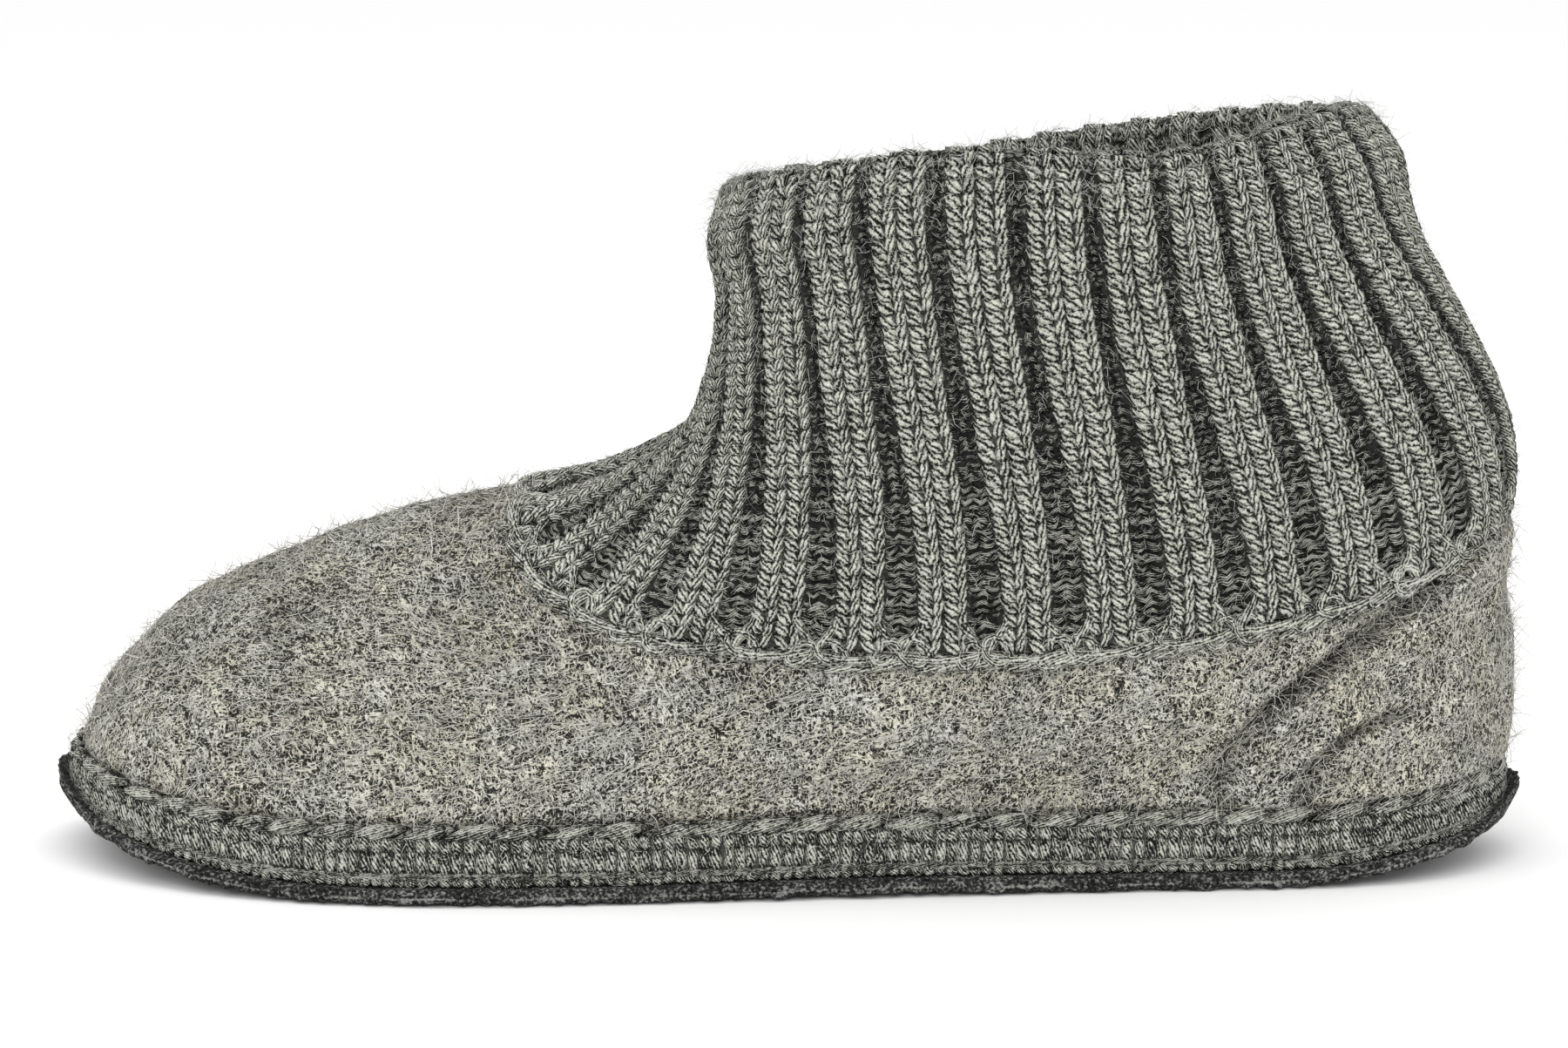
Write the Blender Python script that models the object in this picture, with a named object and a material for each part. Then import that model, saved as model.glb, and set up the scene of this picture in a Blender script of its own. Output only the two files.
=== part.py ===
"""Hut slipper for the left foot: a boiled-wool upper with a ribbed knitted cuff, a bound edge and a flat sole.

The toe points along -X, the outer side of the foot faces -Y, and the sole stands on Z = 0 with the origin under the
middle of the shoe. Sizes are in millimetres, and become Blender's metres when a mesh is made.
"""

from collections import namedtuple

import bmesh
import bpy
import numpy as np

MM = 0.001
GAP = 0.3

# Sole, from the floor up. Its ends curl, and the bound edge above it is squeezed where they do.
SOLE_THICKNESS = 3.0
TOE_SPRING = 10.0
TOE_SPRING_START = -78.0
TOE_END = -135.0
TOE_SQUEEZE = 0.3
HEEL_LIFT = 8.8
HEEL_LIFT_START = 88.0
HEEL_END = 135.0
HEEL_SQUEEZE = 0.5
ARCH_HEIGHT = 0.4
ARCH_FROM, ARCH_TO = -25.0, 60.0

# Binding and braid round the edge of the sole, set back from its lip
BINDING_OUTSIDE = 2.2
BINDING_DEPTH = 5.8
CORD_ROW_HEIGHT = 2.3
STITCH_ROW_HEIGHT = 5.6
BRAID_HEIGHT = 2.9
BRAID_WIDTH = 3.4

# Boiled wool
FELT_THICKNESS = 3.0
COUNTER_THICKNESS = 1.6
INSOLE_THICKNESS = 6.0

# Knitted cuff: two knit columns and two purl columns to a rib
RIB_COUNT = 30
RIB_HEIGHT = 1.7
TROUGH_DEPTH = 0.4
CUFF_BACKING = 2.6
RIM_CROWN = 1.3
RIB_SHARE_AT_HEM = 0.56
RIB_SHARE_AT_RIM = 0.76

# How finely the curved pieces are divided
SOLE_STEPS = 72
UPPER_ROWS = 8
CUFF_ROWS = 8

# One row for each section of the last, from the back of the heel round to the tip of the toe.
# along is measured from the middle of the shoe towards the heel, outer and inner to the two edges of the sole.
# top_ is the seam of wool and knit, and flow_ the way the wall runs there: along, towards the middle, and up.
Section = namedtuple(
    "Section", "place along outer inner top_along top_across top_height flow_along flow_in flow_up"
)
SECTIONS = (
    Section("back", 135, 0, 0, 131, 0, 64, 0.20, 0.00, 1.00),
    Section("heel", 114, 27.5, 28.5, 117, 20.5, 57.5, 0.05, 0.00, 1.00),
    Section("rear", 70, 35, 34, 84, 32, 48.5, 0.00, 0.08, 1.00),
    Section("waist", 15, 40.5, 35, 40, 36, 44, 0.05, 0.10, 1.00),
    Section("instep", -30, 45.5, 42.5, -6, 37.5, 45.3, 0.20, 0.12, 1.00),
    Section("ball", -75, 46, 47.1, -33, 32.5, 49.5, 0.55, 0.20, 0.80),
    Section("toe", -117, 28, 36, -46.5, 19, 60.5, 0.85, 0.22, 0.42),
    Section("tip", -135, -7, 7, -45.5, 0, 68.5, 1.00, 0.00, 0.15),
)

# The same rows for the walls: how far the wool bulges over the binding and rises before it turns in, and how long the
# wool and the knit keep to the flow at their seam. rim_ is the top of the cuff, which dips to the inner side at the
# front, and drop_ leads down from it.
Wall = namedtuple(
    "Wall", "bulge rise wool_reach knit_reach rim_along rim_across rim_outer rim_inner drop_along drop_down"
)
WALLS = (
    Wall(6.0, 12, 14, 25, 105, 0, 136, 136, 12, 33),
    Wall(6.0, 11, 13, 24, 95, 19, 136, 134.5, 9, 33),
    Wall(6.0, 9, 12, 24, 72, 31.5, 130, 131, 3, 32),
    Wall(6.0, 8, 10, 26, 46, 35, 130, 127, 0, 32),
    Wall(5.5, 8, 11, 26, 22, 33, 129.5, 123.5, 0, 34),
    Wall(4.5, 10, 18, 24, 4, 24, 126, 122.5, 2, 38),
    Wall(1.5, 18, 36, 31, -7.5, 12.5, 123.5, 121.5, 3, 43),
    Wall(0.0, 20, 52, 35, -11.5, 0, 121.5, 121.5, 3, 44.5),
)

# Edge of the heel counter: row of the upper, and how many of its steps the counter reaches from the back
Reach = namedtuple("Reach", "row steps")
COUNTER_REACH = (
    Reach(0.5, 9.3), Reach(1, 9.4), Reach(2, 9.5), Reach(3, 9.5), Reach(4, 9.2),
    Reach(5, 8.7), Reach(6, 7.6), Reach(6.5, 6.6), Reach(7, 5.3), Reach(7.8, 3.5),
)

# Drift of the ribs: the knit is wrung a little, so that ribs of the outer side climb towards the front. ribs is the
# place at the hem, counted from the front and positive on the outer side, and shift the ribs gained up to the rim.
Drift = namedtuple("Drift", "ribs shift")
RIB_DRIFT = (
    Drift(-15, 1.2), Drift(-10, 1.4), Drift(-5, 1.9), Drift(0, 2.6), Drift(4.4, 2.9),
    Drift(5.9, 2.6), Drift(7.4, 2.1), Drift(9, 1.5), Drift(10.4, 1.2), Drift(15, 1.2),
)

# Colours, linear
WOOL_COLOUR = (0.34, 0.33, 0.28)
KNIT_COLOUR = (0.20, 0.205, 0.18)
BINDING_COLOUR = (0.19, 0.195, 0.175)
SOLE_COLOUR = (0.045, 0.046, 0.043)
INSOLE_COLOUR = (0.24, 0.23, 0.20)


def clear_scene():
    for thing in list(bpy.data.objects):
        bpy.data.objects.remove(thing)


def closed_curve(rows):
    """A smooth closed curve through the rows: a periodic cubic spline, with row i at parameter i."""
    points = np.array(rows, float)
    count = len(points)
    ring = np.arange(count)
    system = 4 * np.eye(count)
    system[ring, (ring + 1) % count] = 1
    system[ring, (ring - 1) % count] = 1
    slopes = np.linalg.solve(system, 3 * (np.roll(points, -1, 0) - np.roll(points, 1, 0)))

    def curve(parameter):
        parameter = np.asarray(parameter, float) % count
        here = np.minimum(parameter.astype(int), count - 1)
        after = (here + 1) % count
        t = (parameter - here)[..., None]
        return (
            points[here] * (1 + 2 * t) * (1 - t) ** 2
            + slopes[here] * t * (1 - t) ** 2
            + points[after] * t**2 * (3 - 2 * t)
            - slopes[after] * t**2 * (1 - t)
        )

    return curve


def both_sides(row_values):
    """Rows from back to tip and home again: row_values(section, wall, side), with side 1 inner and -1 outer."""
    rows = list(zip(SECTIONS, WALLS))
    inner = [row_values(section, wall, 1) for section, wall in rows]
    outer = [row_values(section, wall, -1) for section, wall in rows[-2:0:-1]]
    return closed_curve(inner + outer)


SOLE_EDGE = both_sides(lambda s, w, side: (s.along, s.inner if side > 0 else -s.outer))
SEAM = both_sides(lambda s, w, side: (s.top_along, side * s.top_across, s.top_height))
FLOW = both_sides(lambda s, w, side: (s.flow_along, -side * s.flow_in, s.flow_up))
SHAPE = both_sides(lambda s, w, side: (w.bulge, w.rise, w.wool_reach, w.knit_reach))
RIM = both_sides(
    lambda s, w, side: (w.rim_along, side * w.rim_across, w.rim_inner if side > 0 else w.rim_outer)
)
DROP = both_sides(lambda s, w, side: (w.drop_along, 0, -w.drop_down))
TURN = 2.0 * (len(SECTIONS) - 1)


BRAID_TOP = SOLE_THICKNESS + 2 * GAP + CORD_ROW_HEIGHT + STITCH_ROW_HEIGHT + BRAID_HEIGHT
WOOL_INSET = BINDING_DEPTH + GAP


def lifted(along, height):
    """Height above the floor: the underside is flat at heel and forefoot, faintly arched, and curls at both ends."""
    toe = np.clip((along - TOE_SPRING_START) / (TOE_END - TOE_SPRING_START), 0, None)
    heel = np.clip((along - HEEL_LIFT_START) / (HEEL_END - HEEL_LIFT_START), 0, None)
    waist = np.clip((along - ARCH_FROM) / (ARCH_TO - ARCH_FROM), 0, 1)
    share = height / BRAID_TOP
    return (
        height
        + TOE_SPRING * toe**2.2 * (1 - TOE_SQUEEZE * share)
        + HEEL_LIFT * heel**1.8 * (1 - HEEL_SQUEEZE * share)
        + ARCH_HEIGHT * np.sin(np.pi * waist) ** 2
    )


def outward(parameter):
    """Unit vectors in plan, square to the edge of the sole and pointing away from the foot."""
    step = 0.01
    run = SOLE_EDGE(parameter + step) - SOLE_EDGE(parameter - step)
    out = np.stack([run[..., 1], -run[..., 0], 0 * run[..., 0]], -1)
    return out / np.linalg.norm(out, axis=-1, keepdims=True)


def edge_ring(parameter, inset, height):
    """Points a set distance inside the edge of the sole, and a set height above its lifted underside."""
    flat = SOLE_EDGE(parameter) - inset * outward(parameter)[..., :2]
    return np.concatenate([flat, lifted(flat[..., 0], height)[..., None]], -1)


def bezier(start, first, second, end, t):
    return (
        start * (1 - t) ** 3 + 3 * first * t * (1 - t) ** 2 + 3 * second * t**2 * (1 - t) + end * t**3
    )


def wool_wall(parameter, t):
    """Outer face of the upper: t runs from the top of the braid to the seam with the knit."""
    shape = SHAPE(parameter)
    foot = edge_ring(parameter, WOOL_INSET, BRAID_TOP)
    first = foot + shape[..., 0:1] * outward(parameter) + shape[..., 1:2] * np.array([0, 0, 1.0])
    seam = SEAM(parameter)
    second = seam - shape[..., 2:3] * unit(FLOW(parameter))
    return bezier(foot, first, second, seam, np.asarray(t, float)[..., None])


def knit_wall(seam_parameter, rim_parameter, t):
    """Middle face of the cuff: t runs from the seam with the wool to the rim."""
    seam = SEAM(seam_parameter)
    first = seam + SHAPE(seam_parameter)[..., 3:4] * unit(FLOW(seam_parameter))
    rim = RIM(rim_parameter)
    second = rim + DROP(rim_parameter)
    return bezier(seam, first, second, rim, np.asarray(t, float)[..., None])


def unit(vectors):
    return vectors / np.linalg.norm(vectors, axis=-1, keepdims=True)


def normals(surface, across, along, step=1e-3):
    """Outward unit normals of surface(across, along) by differences."""
    run = surface(across + step, along) - surface(across - step, along)
    rise = surface(across, along + step) - surface(across, along - step)
    return unit(np.cross(run, rise))


def even_parameters(curve, shares):
    """Parameters that divide a closed curve by length: share 0 and 1 are both at the back."""
    fine = np.linspace(0, TURN, 1401)
    lengths = np.concatenate([[0], np.cumsum(np.linalg.norm(np.diff(curve(fine), axis=0), axis=1))])
    return np.interp(np.mod(shares, 1) * lengths[-1], lengths, fine)


def drifted(share):
    """The rim's share for a share of the hem, which is 0.5 at the front and more on the outer side."""
    ribs = (np.mod(share, 1) - 0.5) * RIB_COUNT
    shift = np.interp(ribs, [mark.ribs for mark in RIB_DRIFT], [mark.shift for mark in RIB_DRIFT])
    return share - shift / RIB_COUNT


def material(name, colour, roughness):
    made = bpy.data.materials.new(name)
    made.use_nodes = True
    shader = made.node_tree.nodes["Principled BSDF"]
    shader.inputs["Base Color"].default_value = (*colour, 1)
    shader.inputs["Roughness"].default_value = roughness
    return made


def finish(name, mesh, look):
    bmesh.ops.recalc_face_normals(mesh, faces=mesh.faces)
    data = bpy.data.meshes.new(name)
    mesh.to_mesh(data)
    mesh.free()
    data.shade_smooth()
    data.set_sharp_from_angle(angle=np.radians(40))
    data.materials.append(look)
    thing = bpy.data.objects.new(name, data)
    bpy.context.scene.collection.objects.link(thing)
    return thing


def add_rings(mesh, rings):
    return [[mesh.verts.new(point) for point in ring * MM] for ring in rings]


def join_rings(mesh, lower, upper):
    count = len(lower)
    for i in range(count):
        after = (i + 1) % count
        mesh.faces.new((lower[i], lower[after], upper[after], upper[i]))


def tube(name, rings, look):
    """A hollow solid: each ring is joined to the next, and the last to the first."""
    mesh = bmesh.new()
    made = add_rings(mesh, rings)
    for lower, upper in zip(made, made[1:] + made[:1]):
        join_rings(mesh, lower, upper)
    return finish(name, mesh, look)


def plate(name, rings, look):
    """A solid slab: each ring is joined to the next, and strips across the foot close the first and the last."""
    mesh = bmesh.new()
    made = add_rings(mesh, rings)
    for lower, upper in zip(made, made[1:]):
        join_rings(mesh, lower, upper)
    for ring in (made[0], made[-1]):
        half = len(ring) // 2
        mesh.faces.new((ring[0], ring[1], ring[-1]))
        for i in range(1, half - 1):
            mesh.faces.new((ring[i], ring[i + 1], ring[-i - 1], ring[-i]))
        mesh.faces.new((ring[half - 1], ring[half], ring[half + 1]))
    return finish(name, mesh, look)


def patch(name, outer, inner, look):
    """A solid sheet between two sets of rows, closed round its edge: each row is centred, and as long or shorter."""
    mesh = bmesh.new()
    sheets = [add_rings(mesh, rows) for rows in (outer, inner)]
    halves = [len(row) // 2 for row in outer]
    for rows in sheets:
        for r, (low, high) in enumerate(zip(halves, halves[1:])):
            lower, upper = rows[r], rows[r + 1]
            step = low - high
            for c in range(2 * high):
                mesh.faces.new((lower[c + step], lower[c + step + 1], upper[c + 1], upper[c]))
            for c in range(step):
                mesh.faces.new((lower[c], lower[c + 1], upper[0]))
                mesh.faces.new((lower[-c - 2], lower[-c - 1], upper[-1]))
    last = len(halves) - 1
    edge = [(0, c) for c in range(2 * halves[0] + 1)] + [(r, -1) for r in range(1, last + 1)]
    edge += [(last, c) for c in range(2 * halves[last] - 1, -1, -1)] + [(r, 0) for r in range(last - 1, 0, -1)]
    for here, after in zip(edge, edge[1:] + edge[:1]):
        corners = [sheets[side][r][c] for side, (r, c) in ((0, here), (0, after), (1, after), (1, here))]
        mesh.faces.new(corners)
    return finish(name, mesh, look)


def sole_steps():
    return np.arange(SOLE_STEPS) * TURN / SOLE_STEPS


def build_outsole():
    profile = ((3.5, 0), (0.9, 0.15), (0.1, 1.0), (0, 1.9), (0.5, 2.8), (1.0, SOLE_THICKNESS))
    rings = [edge_ring(sole_steps(), inset, height) for inset, height in profile]
    plate("outsole", rings, material("outsole", SOLE_COLOUR, 0.85))


def build_binding():
    """The cord row and the taller stitch row, as one band with a groove between them."""
    foot = SOLE_THICKNESS + GAP
    groove = foot + CORD_ROW_HEIGHT
    top = groove + STITCH_ROW_HEIGHT
    side = BINDING_OUTSIDE
    profile = (
        (side + 0.6, foot), (side, foot + 0.7), (side, groove - 0.7), (side + 0.9, groove),
        (side + 0.2, groove + 0.8), (side, groove + 0.5 * STITCH_ROW_HEIGHT), (side + 0.3, top - 0.8),
        (side + 0.9, top), (BINDING_DEPTH, top), (BINDING_DEPTH, foot),
    )
    rings = [edge_ring(sole_steps(), inset, height) for inset, height in profile]
    tube("binding", rings, material("binding", BINDING_COLOUR, 0.9))


def build_braid():
    middle = BRAID_TOP - 0.5 * BRAID_HEIGHT
    inset = BINDING_DEPTH - 0.5 * BRAID_WIDTH
    angles = np.arange(6) * np.pi / 3
    rings = [
        edge_ring(
            sole_steps(), inset - 0.5 * BRAID_WIDTH * np.cos(a), middle + 0.5 * BRAID_HEIGHT * np.sin(a)
        )
        for a in angles
    ]
    tube("binding_braid", rings, material("binding_braid", BINDING_COLOUR, 0.9))


def build_insole():
    foot = SOLE_THICKNESS + GAP
    inset = WOOL_INSET + FELT_THICKNESS + GAP
    profile = ((inset, foot), (inset, foot + INSOLE_THICKNESS - 1), (inset + 1.2, foot + INSOLE_THICKNESS))
    rings = [edge_ring(sole_steps(), depth, height) for depth, height in profile]
    plate("insole", rings, material("insole", INSOLE_COLOUR, 0.95))


def build_upper():
    """Boiled wool: it stands on the sole behind the binding, swells over the braid and closes in to the seam."""
    steps = sole_steps()
    foot = SOLE_THICKNESS + GAP
    rows = np.linspace(0, 1, UPPER_ROWS + 1)
    outer = [wool_wall(steps, np.full_like(steps, t)) for t in rows]
    facing = [normals(wool_wall, steps, np.full_like(steps, t)) for t in rows[1:]]
    inner = [point - FELT_THICKNESS * out for point, out in zip(outer[1:], facing)]
    tucked = [edge_ring(steps, WOOL_INSET + FELT_THICKNESS, height) for height in (BRAID_TOP, foot)]
    rings = [edge_ring(steps, WOOL_INSET, foot)] + outer + inner[::-1] + tucked
    tube("upper", rings, material("upper", WOOL_COLOUR, 0.95))


def build_counter():
    """The heel counter: a second layer of wool over the back of the upper, cut on a slant at both ends."""
    step = TURN / SOLE_STEPS
    outer, inner = [], []
    for edge in COUNTER_REACH:
        whole = np.ceil(edge.steps) - 1
        across = np.concatenate([[-edge.steps], np.arange(-whole, whole + 1), [edge.steps]]) * step
        level = np.full_like(across, edge.row / UPPER_ROWS)
        face = wool_wall(across, level)
        out = normals(wool_wall, across, level)
        outer.append(face + (GAP + COUNTER_THICKNESS) * out)
        inner.append(face + GAP * out)
    patch("heel_counter", outer, inner, material("heel_counter", WOOL_COLOUR, 0.95))


def build_cuff():
    """Ribbed knit: four points carry each rib, which keeps its width while the troughs open towards the hem."""
    ribs = np.arange(RIB_COUNT)[:, None]
    first_row = 0.004
    outer, inner = [], []
    for t in np.linspace(first_row, 1, CUFF_ROWS + 1):
        half = 0.5 * (RIB_SHARE_AT_HEM + (RIB_SHARE_AT_RIM - RIB_SHARE_AT_HEM) * min(1, 1.6 * t))
        slope = 0.25 * (1 - 2 * half)
        places = np.array([-half - slope, -half + slope, half - slope, half + slope])
        raised = np.array([0, 1, 1, 0])
        shares = ((ribs + places) / RIB_COUNT).ravel()
        height = np.tile(raised * (RIB_HEIGHT + TROUGH_DEPTH) - TROUGH_DEPTH, RIB_COUNT)[:, None]

        def wall(share, level):
            return knit_wall(even_parameters(SEAM, share), even_parameters(RIM, drifted(share)), level)

        level = np.full_like(shares, t)
        middle = wall(shares, level)
        out = normals(wall, shares, level, 2e-3)
        outer.append(middle + height * out)
        inner.append(middle - CUFF_BACKING * out)
    crown = 0.5 * (outer[-1] + inner[-1]) + np.array([0, 0, RIM_CROWN])
    tube("cuff", outer + [crown] + inner[::-1], material("cuff", KNIT_COLOUR, 0.95))


def main():
    clear_scene()
    build_outsole()
    build_binding()
    build_braid()
    build_insole()
    build_upper()
    build_counter()
    build_cuff()


main()
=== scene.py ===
# %% [markdown]
# A hut slipper is a boiled-wool shoe with a knitted cuff, pulled on at the door of a mountain hut. The
# solids of the part already hold every size. This lesson dresses them one piece at a time: felt, ribbed
# knit, a stitched edge and a dark sole. We load the solids first.

# %% Load the solids
from collections import namedtuple

import bpy
import numpy as np
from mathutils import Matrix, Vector


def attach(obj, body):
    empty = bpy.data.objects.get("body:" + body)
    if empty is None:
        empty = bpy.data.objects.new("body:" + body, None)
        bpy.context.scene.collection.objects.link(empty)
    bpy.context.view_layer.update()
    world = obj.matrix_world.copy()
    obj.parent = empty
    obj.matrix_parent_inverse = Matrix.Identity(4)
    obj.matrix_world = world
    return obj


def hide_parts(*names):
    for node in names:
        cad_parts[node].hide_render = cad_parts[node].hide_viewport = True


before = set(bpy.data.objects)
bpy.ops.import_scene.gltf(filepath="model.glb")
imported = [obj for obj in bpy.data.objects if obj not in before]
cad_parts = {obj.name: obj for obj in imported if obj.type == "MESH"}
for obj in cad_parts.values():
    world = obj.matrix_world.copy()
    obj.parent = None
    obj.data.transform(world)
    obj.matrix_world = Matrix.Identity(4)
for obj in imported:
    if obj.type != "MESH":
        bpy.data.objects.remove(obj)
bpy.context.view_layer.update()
MM = 0.001
chance = np.random.default_rng(11)
print("solids:", sorted(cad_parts))

# %% [markdown]
# A shoe is drawn round a last, the wooden foot that a maker works on. The table below gives its sections
# from the back of the heel to the tip of the toe, in millimetres. We could read the shape back from the
# solids, but a smooth curve through the same sections gives us exact points wherever a stitch or a hair
# needs one.

# %% Sections of the last
GAP = 0.3
SOLE_THICKNESS = 3.0
TOE_SPRING, TOE_SPRING_START, TOE_END, TOE_SQUEEZE = 10.0, -78.0, -135.0, 0.3
HEEL_LIFT, HEEL_LIFT_START, HEEL_END, HEEL_SQUEEZE = 8.8, 88.0, 135.0, 0.5
ARCH_HEIGHT, ARCH_FROM, ARCH_TO = 0.4, -25.0, 60.0
BINDING_OUTSIDE, BINDING_DEPTH = 2.2, 5.8
CORD_ROW_HEIGHT, STITCH_ROW_HEIGHT = 2.3, 5.6
BRAID_HEIGHT = 2.9
FELT_THICKNESS, COUNTER_THICKNESS, INSOLE_THICKNESS = 3.0, 1.6, 6.0
RIB_COUNT, RIB_SHARE_AT_HEM, RIB_SHARE_AT_RIM = 30, 0.56, 0.76
SOLE_STEPS, UPPER_ROWS = 72, 8
BRAID_TOP = SOLE_THICKNESS + 2 * GAP + CORD_ROW_HEIGHT + STITCH_ROW_HEIGHT + BRAID_HEIGHT
WOOL_INSET = BINDING_DEPTH + GAP
UP = np.array([0, 0, 1.0])
CURVE_STEPS, NUDGE = 1401, 0.01

Section = namedtuple(
    "Section", "place along outer inner top_along top_across top_height flow_along flow_in flow_up"
)
SECTIONS = (
    Section("back", 135, 0, 0, 131, 0, 64, 0.20, 0.00, 1.00),
    Section("heel", 114, 27.5, 28.5, 117, 20.5, 57.5, 0.05, 0.00, 1.00),
    Section("rear", 70, 35, 34, 84, 32, 48.5, 0.00, 0.08, 1.00),
    Section("waist", 15, 40.5, 35, 40, 36, 44, 0.05, 0.10, 1.00),
    Section("instep", -30, 45.5, 42.5, -6, 37.5, 45.3, 0.20, 0.12, 1.00),
    Section("ball", -75, 46, 47.1, -33, 32.5, 49.5, 0.55, 0.20, 0.80),
    Section("toe", -117, 28, 36, -46.5, 19, 60.5, 0.85, 0.22, 0.42),
    Section("tip", -135, -7, 7, -45.5, 0, 68.5, 1.00, 0.00, 0.15),
)
Wall = namedtuple(
    "Wall", "bulge rise wool_reach knit_reach rim_along rim_across rim_outer rim_inner drop_along drop_down"
)
WALLS = (
    Wall(6.0, 12, 14, 25, 105, 0, 136, 136, 12, 33),
    Wall(6.0, 11, 13, 24, 95, 19, 136, 134.5, 9, 33),
    Wall(6.0, 9, 12, 24, 72, 31.5, 130, 131, 3, 32),
    Wall(6.0, 8, 10, 26, 46, 35, 130, 127, 0, 32),
    Wall(5.5, 8, 11, 26, 22, 33, 129.5, 123.5, 0, 34),
    Wall(4.5, 10, 18, 24, 4, 24, 126, 122.5, 2, 38),
    Wall(1.5, 18, 36, 31, -7.5, 12.5, 123.5, 121.5, 3, 43),
    Wall(0.0, 20, 52, 35, -11.5, 0, 121.5, 121.5, 3, 44.5),
)


# %% Curves round the last
def unit(vectors):
    """Vectors over their own length."""
    return vectors / np.linalg.norm(vectors, axis=-1, keepdims=True)


def closed_curve(rows):
    """A smooth closed curve through the rows: a periodic cubic spline, with row i at parameter i."""
    points = np.array(rows, float)
    count = len(points)
    ring = np.arange(count)
    system = 4 * np.eye(count)
    system[ring, (ring + 1) % count] = 1
    system[ring, (ring - 1) % count] = 1
    slopes = np.linalg.solve(system, 3 * (np.roll(points, -1, 0) - np.roll(points, 1, 0)))

    def curve(parameter):
        parameter = np.asarray(parameter, float) % count
        here = np.minimum(parameter.astype(int), count - 1)
        after = (here + 1) % count
        t = (parameter - here)[..., None]
        return (
            points[here] * (1 + 2 * t) * (1 - t) ** 2
            + slopes[here] * t * (1 - t) ** 2
            + points[after] * t**2 * (3 - 2 * t)
            - slopes[after] * t**2 * (1 - t)
        )

    return curve


def both_sides(row_values):
    """Rows from back to tip by the inner side, side 1, and home again by the outer side, side -1."""
    rows = list(zip(SECTIONS, WALLS))
    inner = [row_values(section, wall, 1) for section, wall in rows]
    outer = [row_values(section, wall, -1) for section, wall in rows[-2:0:-1]]
    return closed_curve(inner + outer)


SOLE_EDGE = both_sides(lambda s, w, side: (s.along, s.inner if side > 0 else -s.outer))
SEAM = both_sides(lambda s, w, side: (s.top_along, side * s.top_across, s.top_height))
FLOW = both_sides(lambda s, w, side: (s.flow_along, -side * s.flow_in, s.flow_up))
SHAPE = both_sides(lambda s, w, side: (w.bulge, w.rise, w.wool_reach, w.knit_reach))
RIM = both_sides(
    lambda s, w, side: (w.rim_along, side * w.rim_across, w.rim_inner if side > 0 else w.rim_outer)
)
DROP = both_sides(lambda s, w, side: (w.drop_along, 0, -w.drop_down))
TURN = 2.0 * (len(SECTIONS) - 1)


def even_parameters(curve, shares):
    """Parameters that divide a closed curve by length: share 0 and 1 are both at the back."""
    fine = np.linspace(0, TURN, CURVE_STEPS)
    lengths = np.concatenate([[0], np.cumsum(np.linalg.norm(np.diff(curve(fine), axis=0), axis=1))])
    return np.interp(np.asarray(shares) % 1.0 * lengths[-1], lengths, fine)


# %% Walls of the last
def lifted(along, height):
    """Height above the floor: flat at heel and forefoot, faintly arched between, curled up at both ends."""
    toe = np.clip((along - TOE_SPRING_START) / (TOE_END - TOE_SPRING_START), 0, None)
    heel = np.clip((along - HEEL_LIFT_START) / (HEEL_END - HEEL_LIFT_START), 0, None)
    waist = np.clip((along - ARCH_FROM) / (ARCH_TO - ARCH_FROM), 0, 1)
    share = height / BRAID_TOP
    return (
        height
        + TOE_SPRING * toe**2.2 * (1 - TOE_SQUEEZE * share)
        + HEEL_LIFT * heel**1.8 * (1 - HEEL_SQUEEZE * share)
        + ARCH_HEIGHT * np.sin(np.pi * waist) ** 2
    )


def outward(parameter):
    """The edge's run turned a quarter turn in plan: unit vectors that point away from the foot."""
    run = SOLE_EDGE(parameter + NUDGE) - SOLE_EDGE(parameter - NUDGE)
    return unit(np.stack([run[..., 1], -run[..., 0], 0 * run[..., 0]], -1))


def edge_ring(parameter, inset, height):
    """The sole's edge moved inwards by inset, at a height above the lifted underside."""
    flat = SOLE_EDGE(parameter) - np.asarray(inset)[..., None] * outward(parameter)[..., :2]
    return np.concatenate([flat, lifted(flat[..., 0], height)[..., None]], -1)


def bezier(start, first, second, end, t):
    """A cubic curve from start to end that leaves towards first and arrives from second."""
    return (
        start * (1 - t) ** 3 + 3 * first * t * (1 - t) ** 2 + 3 * second * t**2 * (1 - t) + end * t**3
    )


def wool_wall(parameter, t):
    """The felt's outer face: a cubic from the braid, over the binding, and along the flow to the seam."""
    shape = SHAPE(parameter)
    foot = edge_ring(parameter, WOOL_INSET, BRAID_TOP)
    first = foot + shape[..., 0:1] * outward(parameter) + shape[..., 1:2] * UP
    seam = SEAM(parameter)
    second = seam - shape[..., 2:3] * unit(FLOW(parameter))
    return bezier(foot, first, second, seam, np.asarray(t, float)[..., None])


def knit_wall(seam_parameter, rim_parameter, t):
    """The cuff's middle face: a cubic from the seam, along the flow, and up the drop to the rim."""
    seam = SEAM(seam_parameter)
    first = seam + SHAPE(seam_parameter)[..., 3:4] * unit(FLOW(seam_parameter))
    rim = RIM(rim_parameter)
    return bezier(seam, first, rim + DROP(rim_parameter), rim, np.asarray(t, float)[..., None])


print("edge of the sole, mm:", np.round(SOLE_EDGE(np.arange(0, TURN, 2)), 1).tolist())

# %% [markdown]
# A mesh is only arrays: corner places, and faces that list corner numbers. We compute whole arrays with
# numpy and hand them to Blender in one go, which is far quicker than adding points one by one. A surface
# is a grid of rows and columns, and a strand of yarn is a small ring carried along a path.

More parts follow.
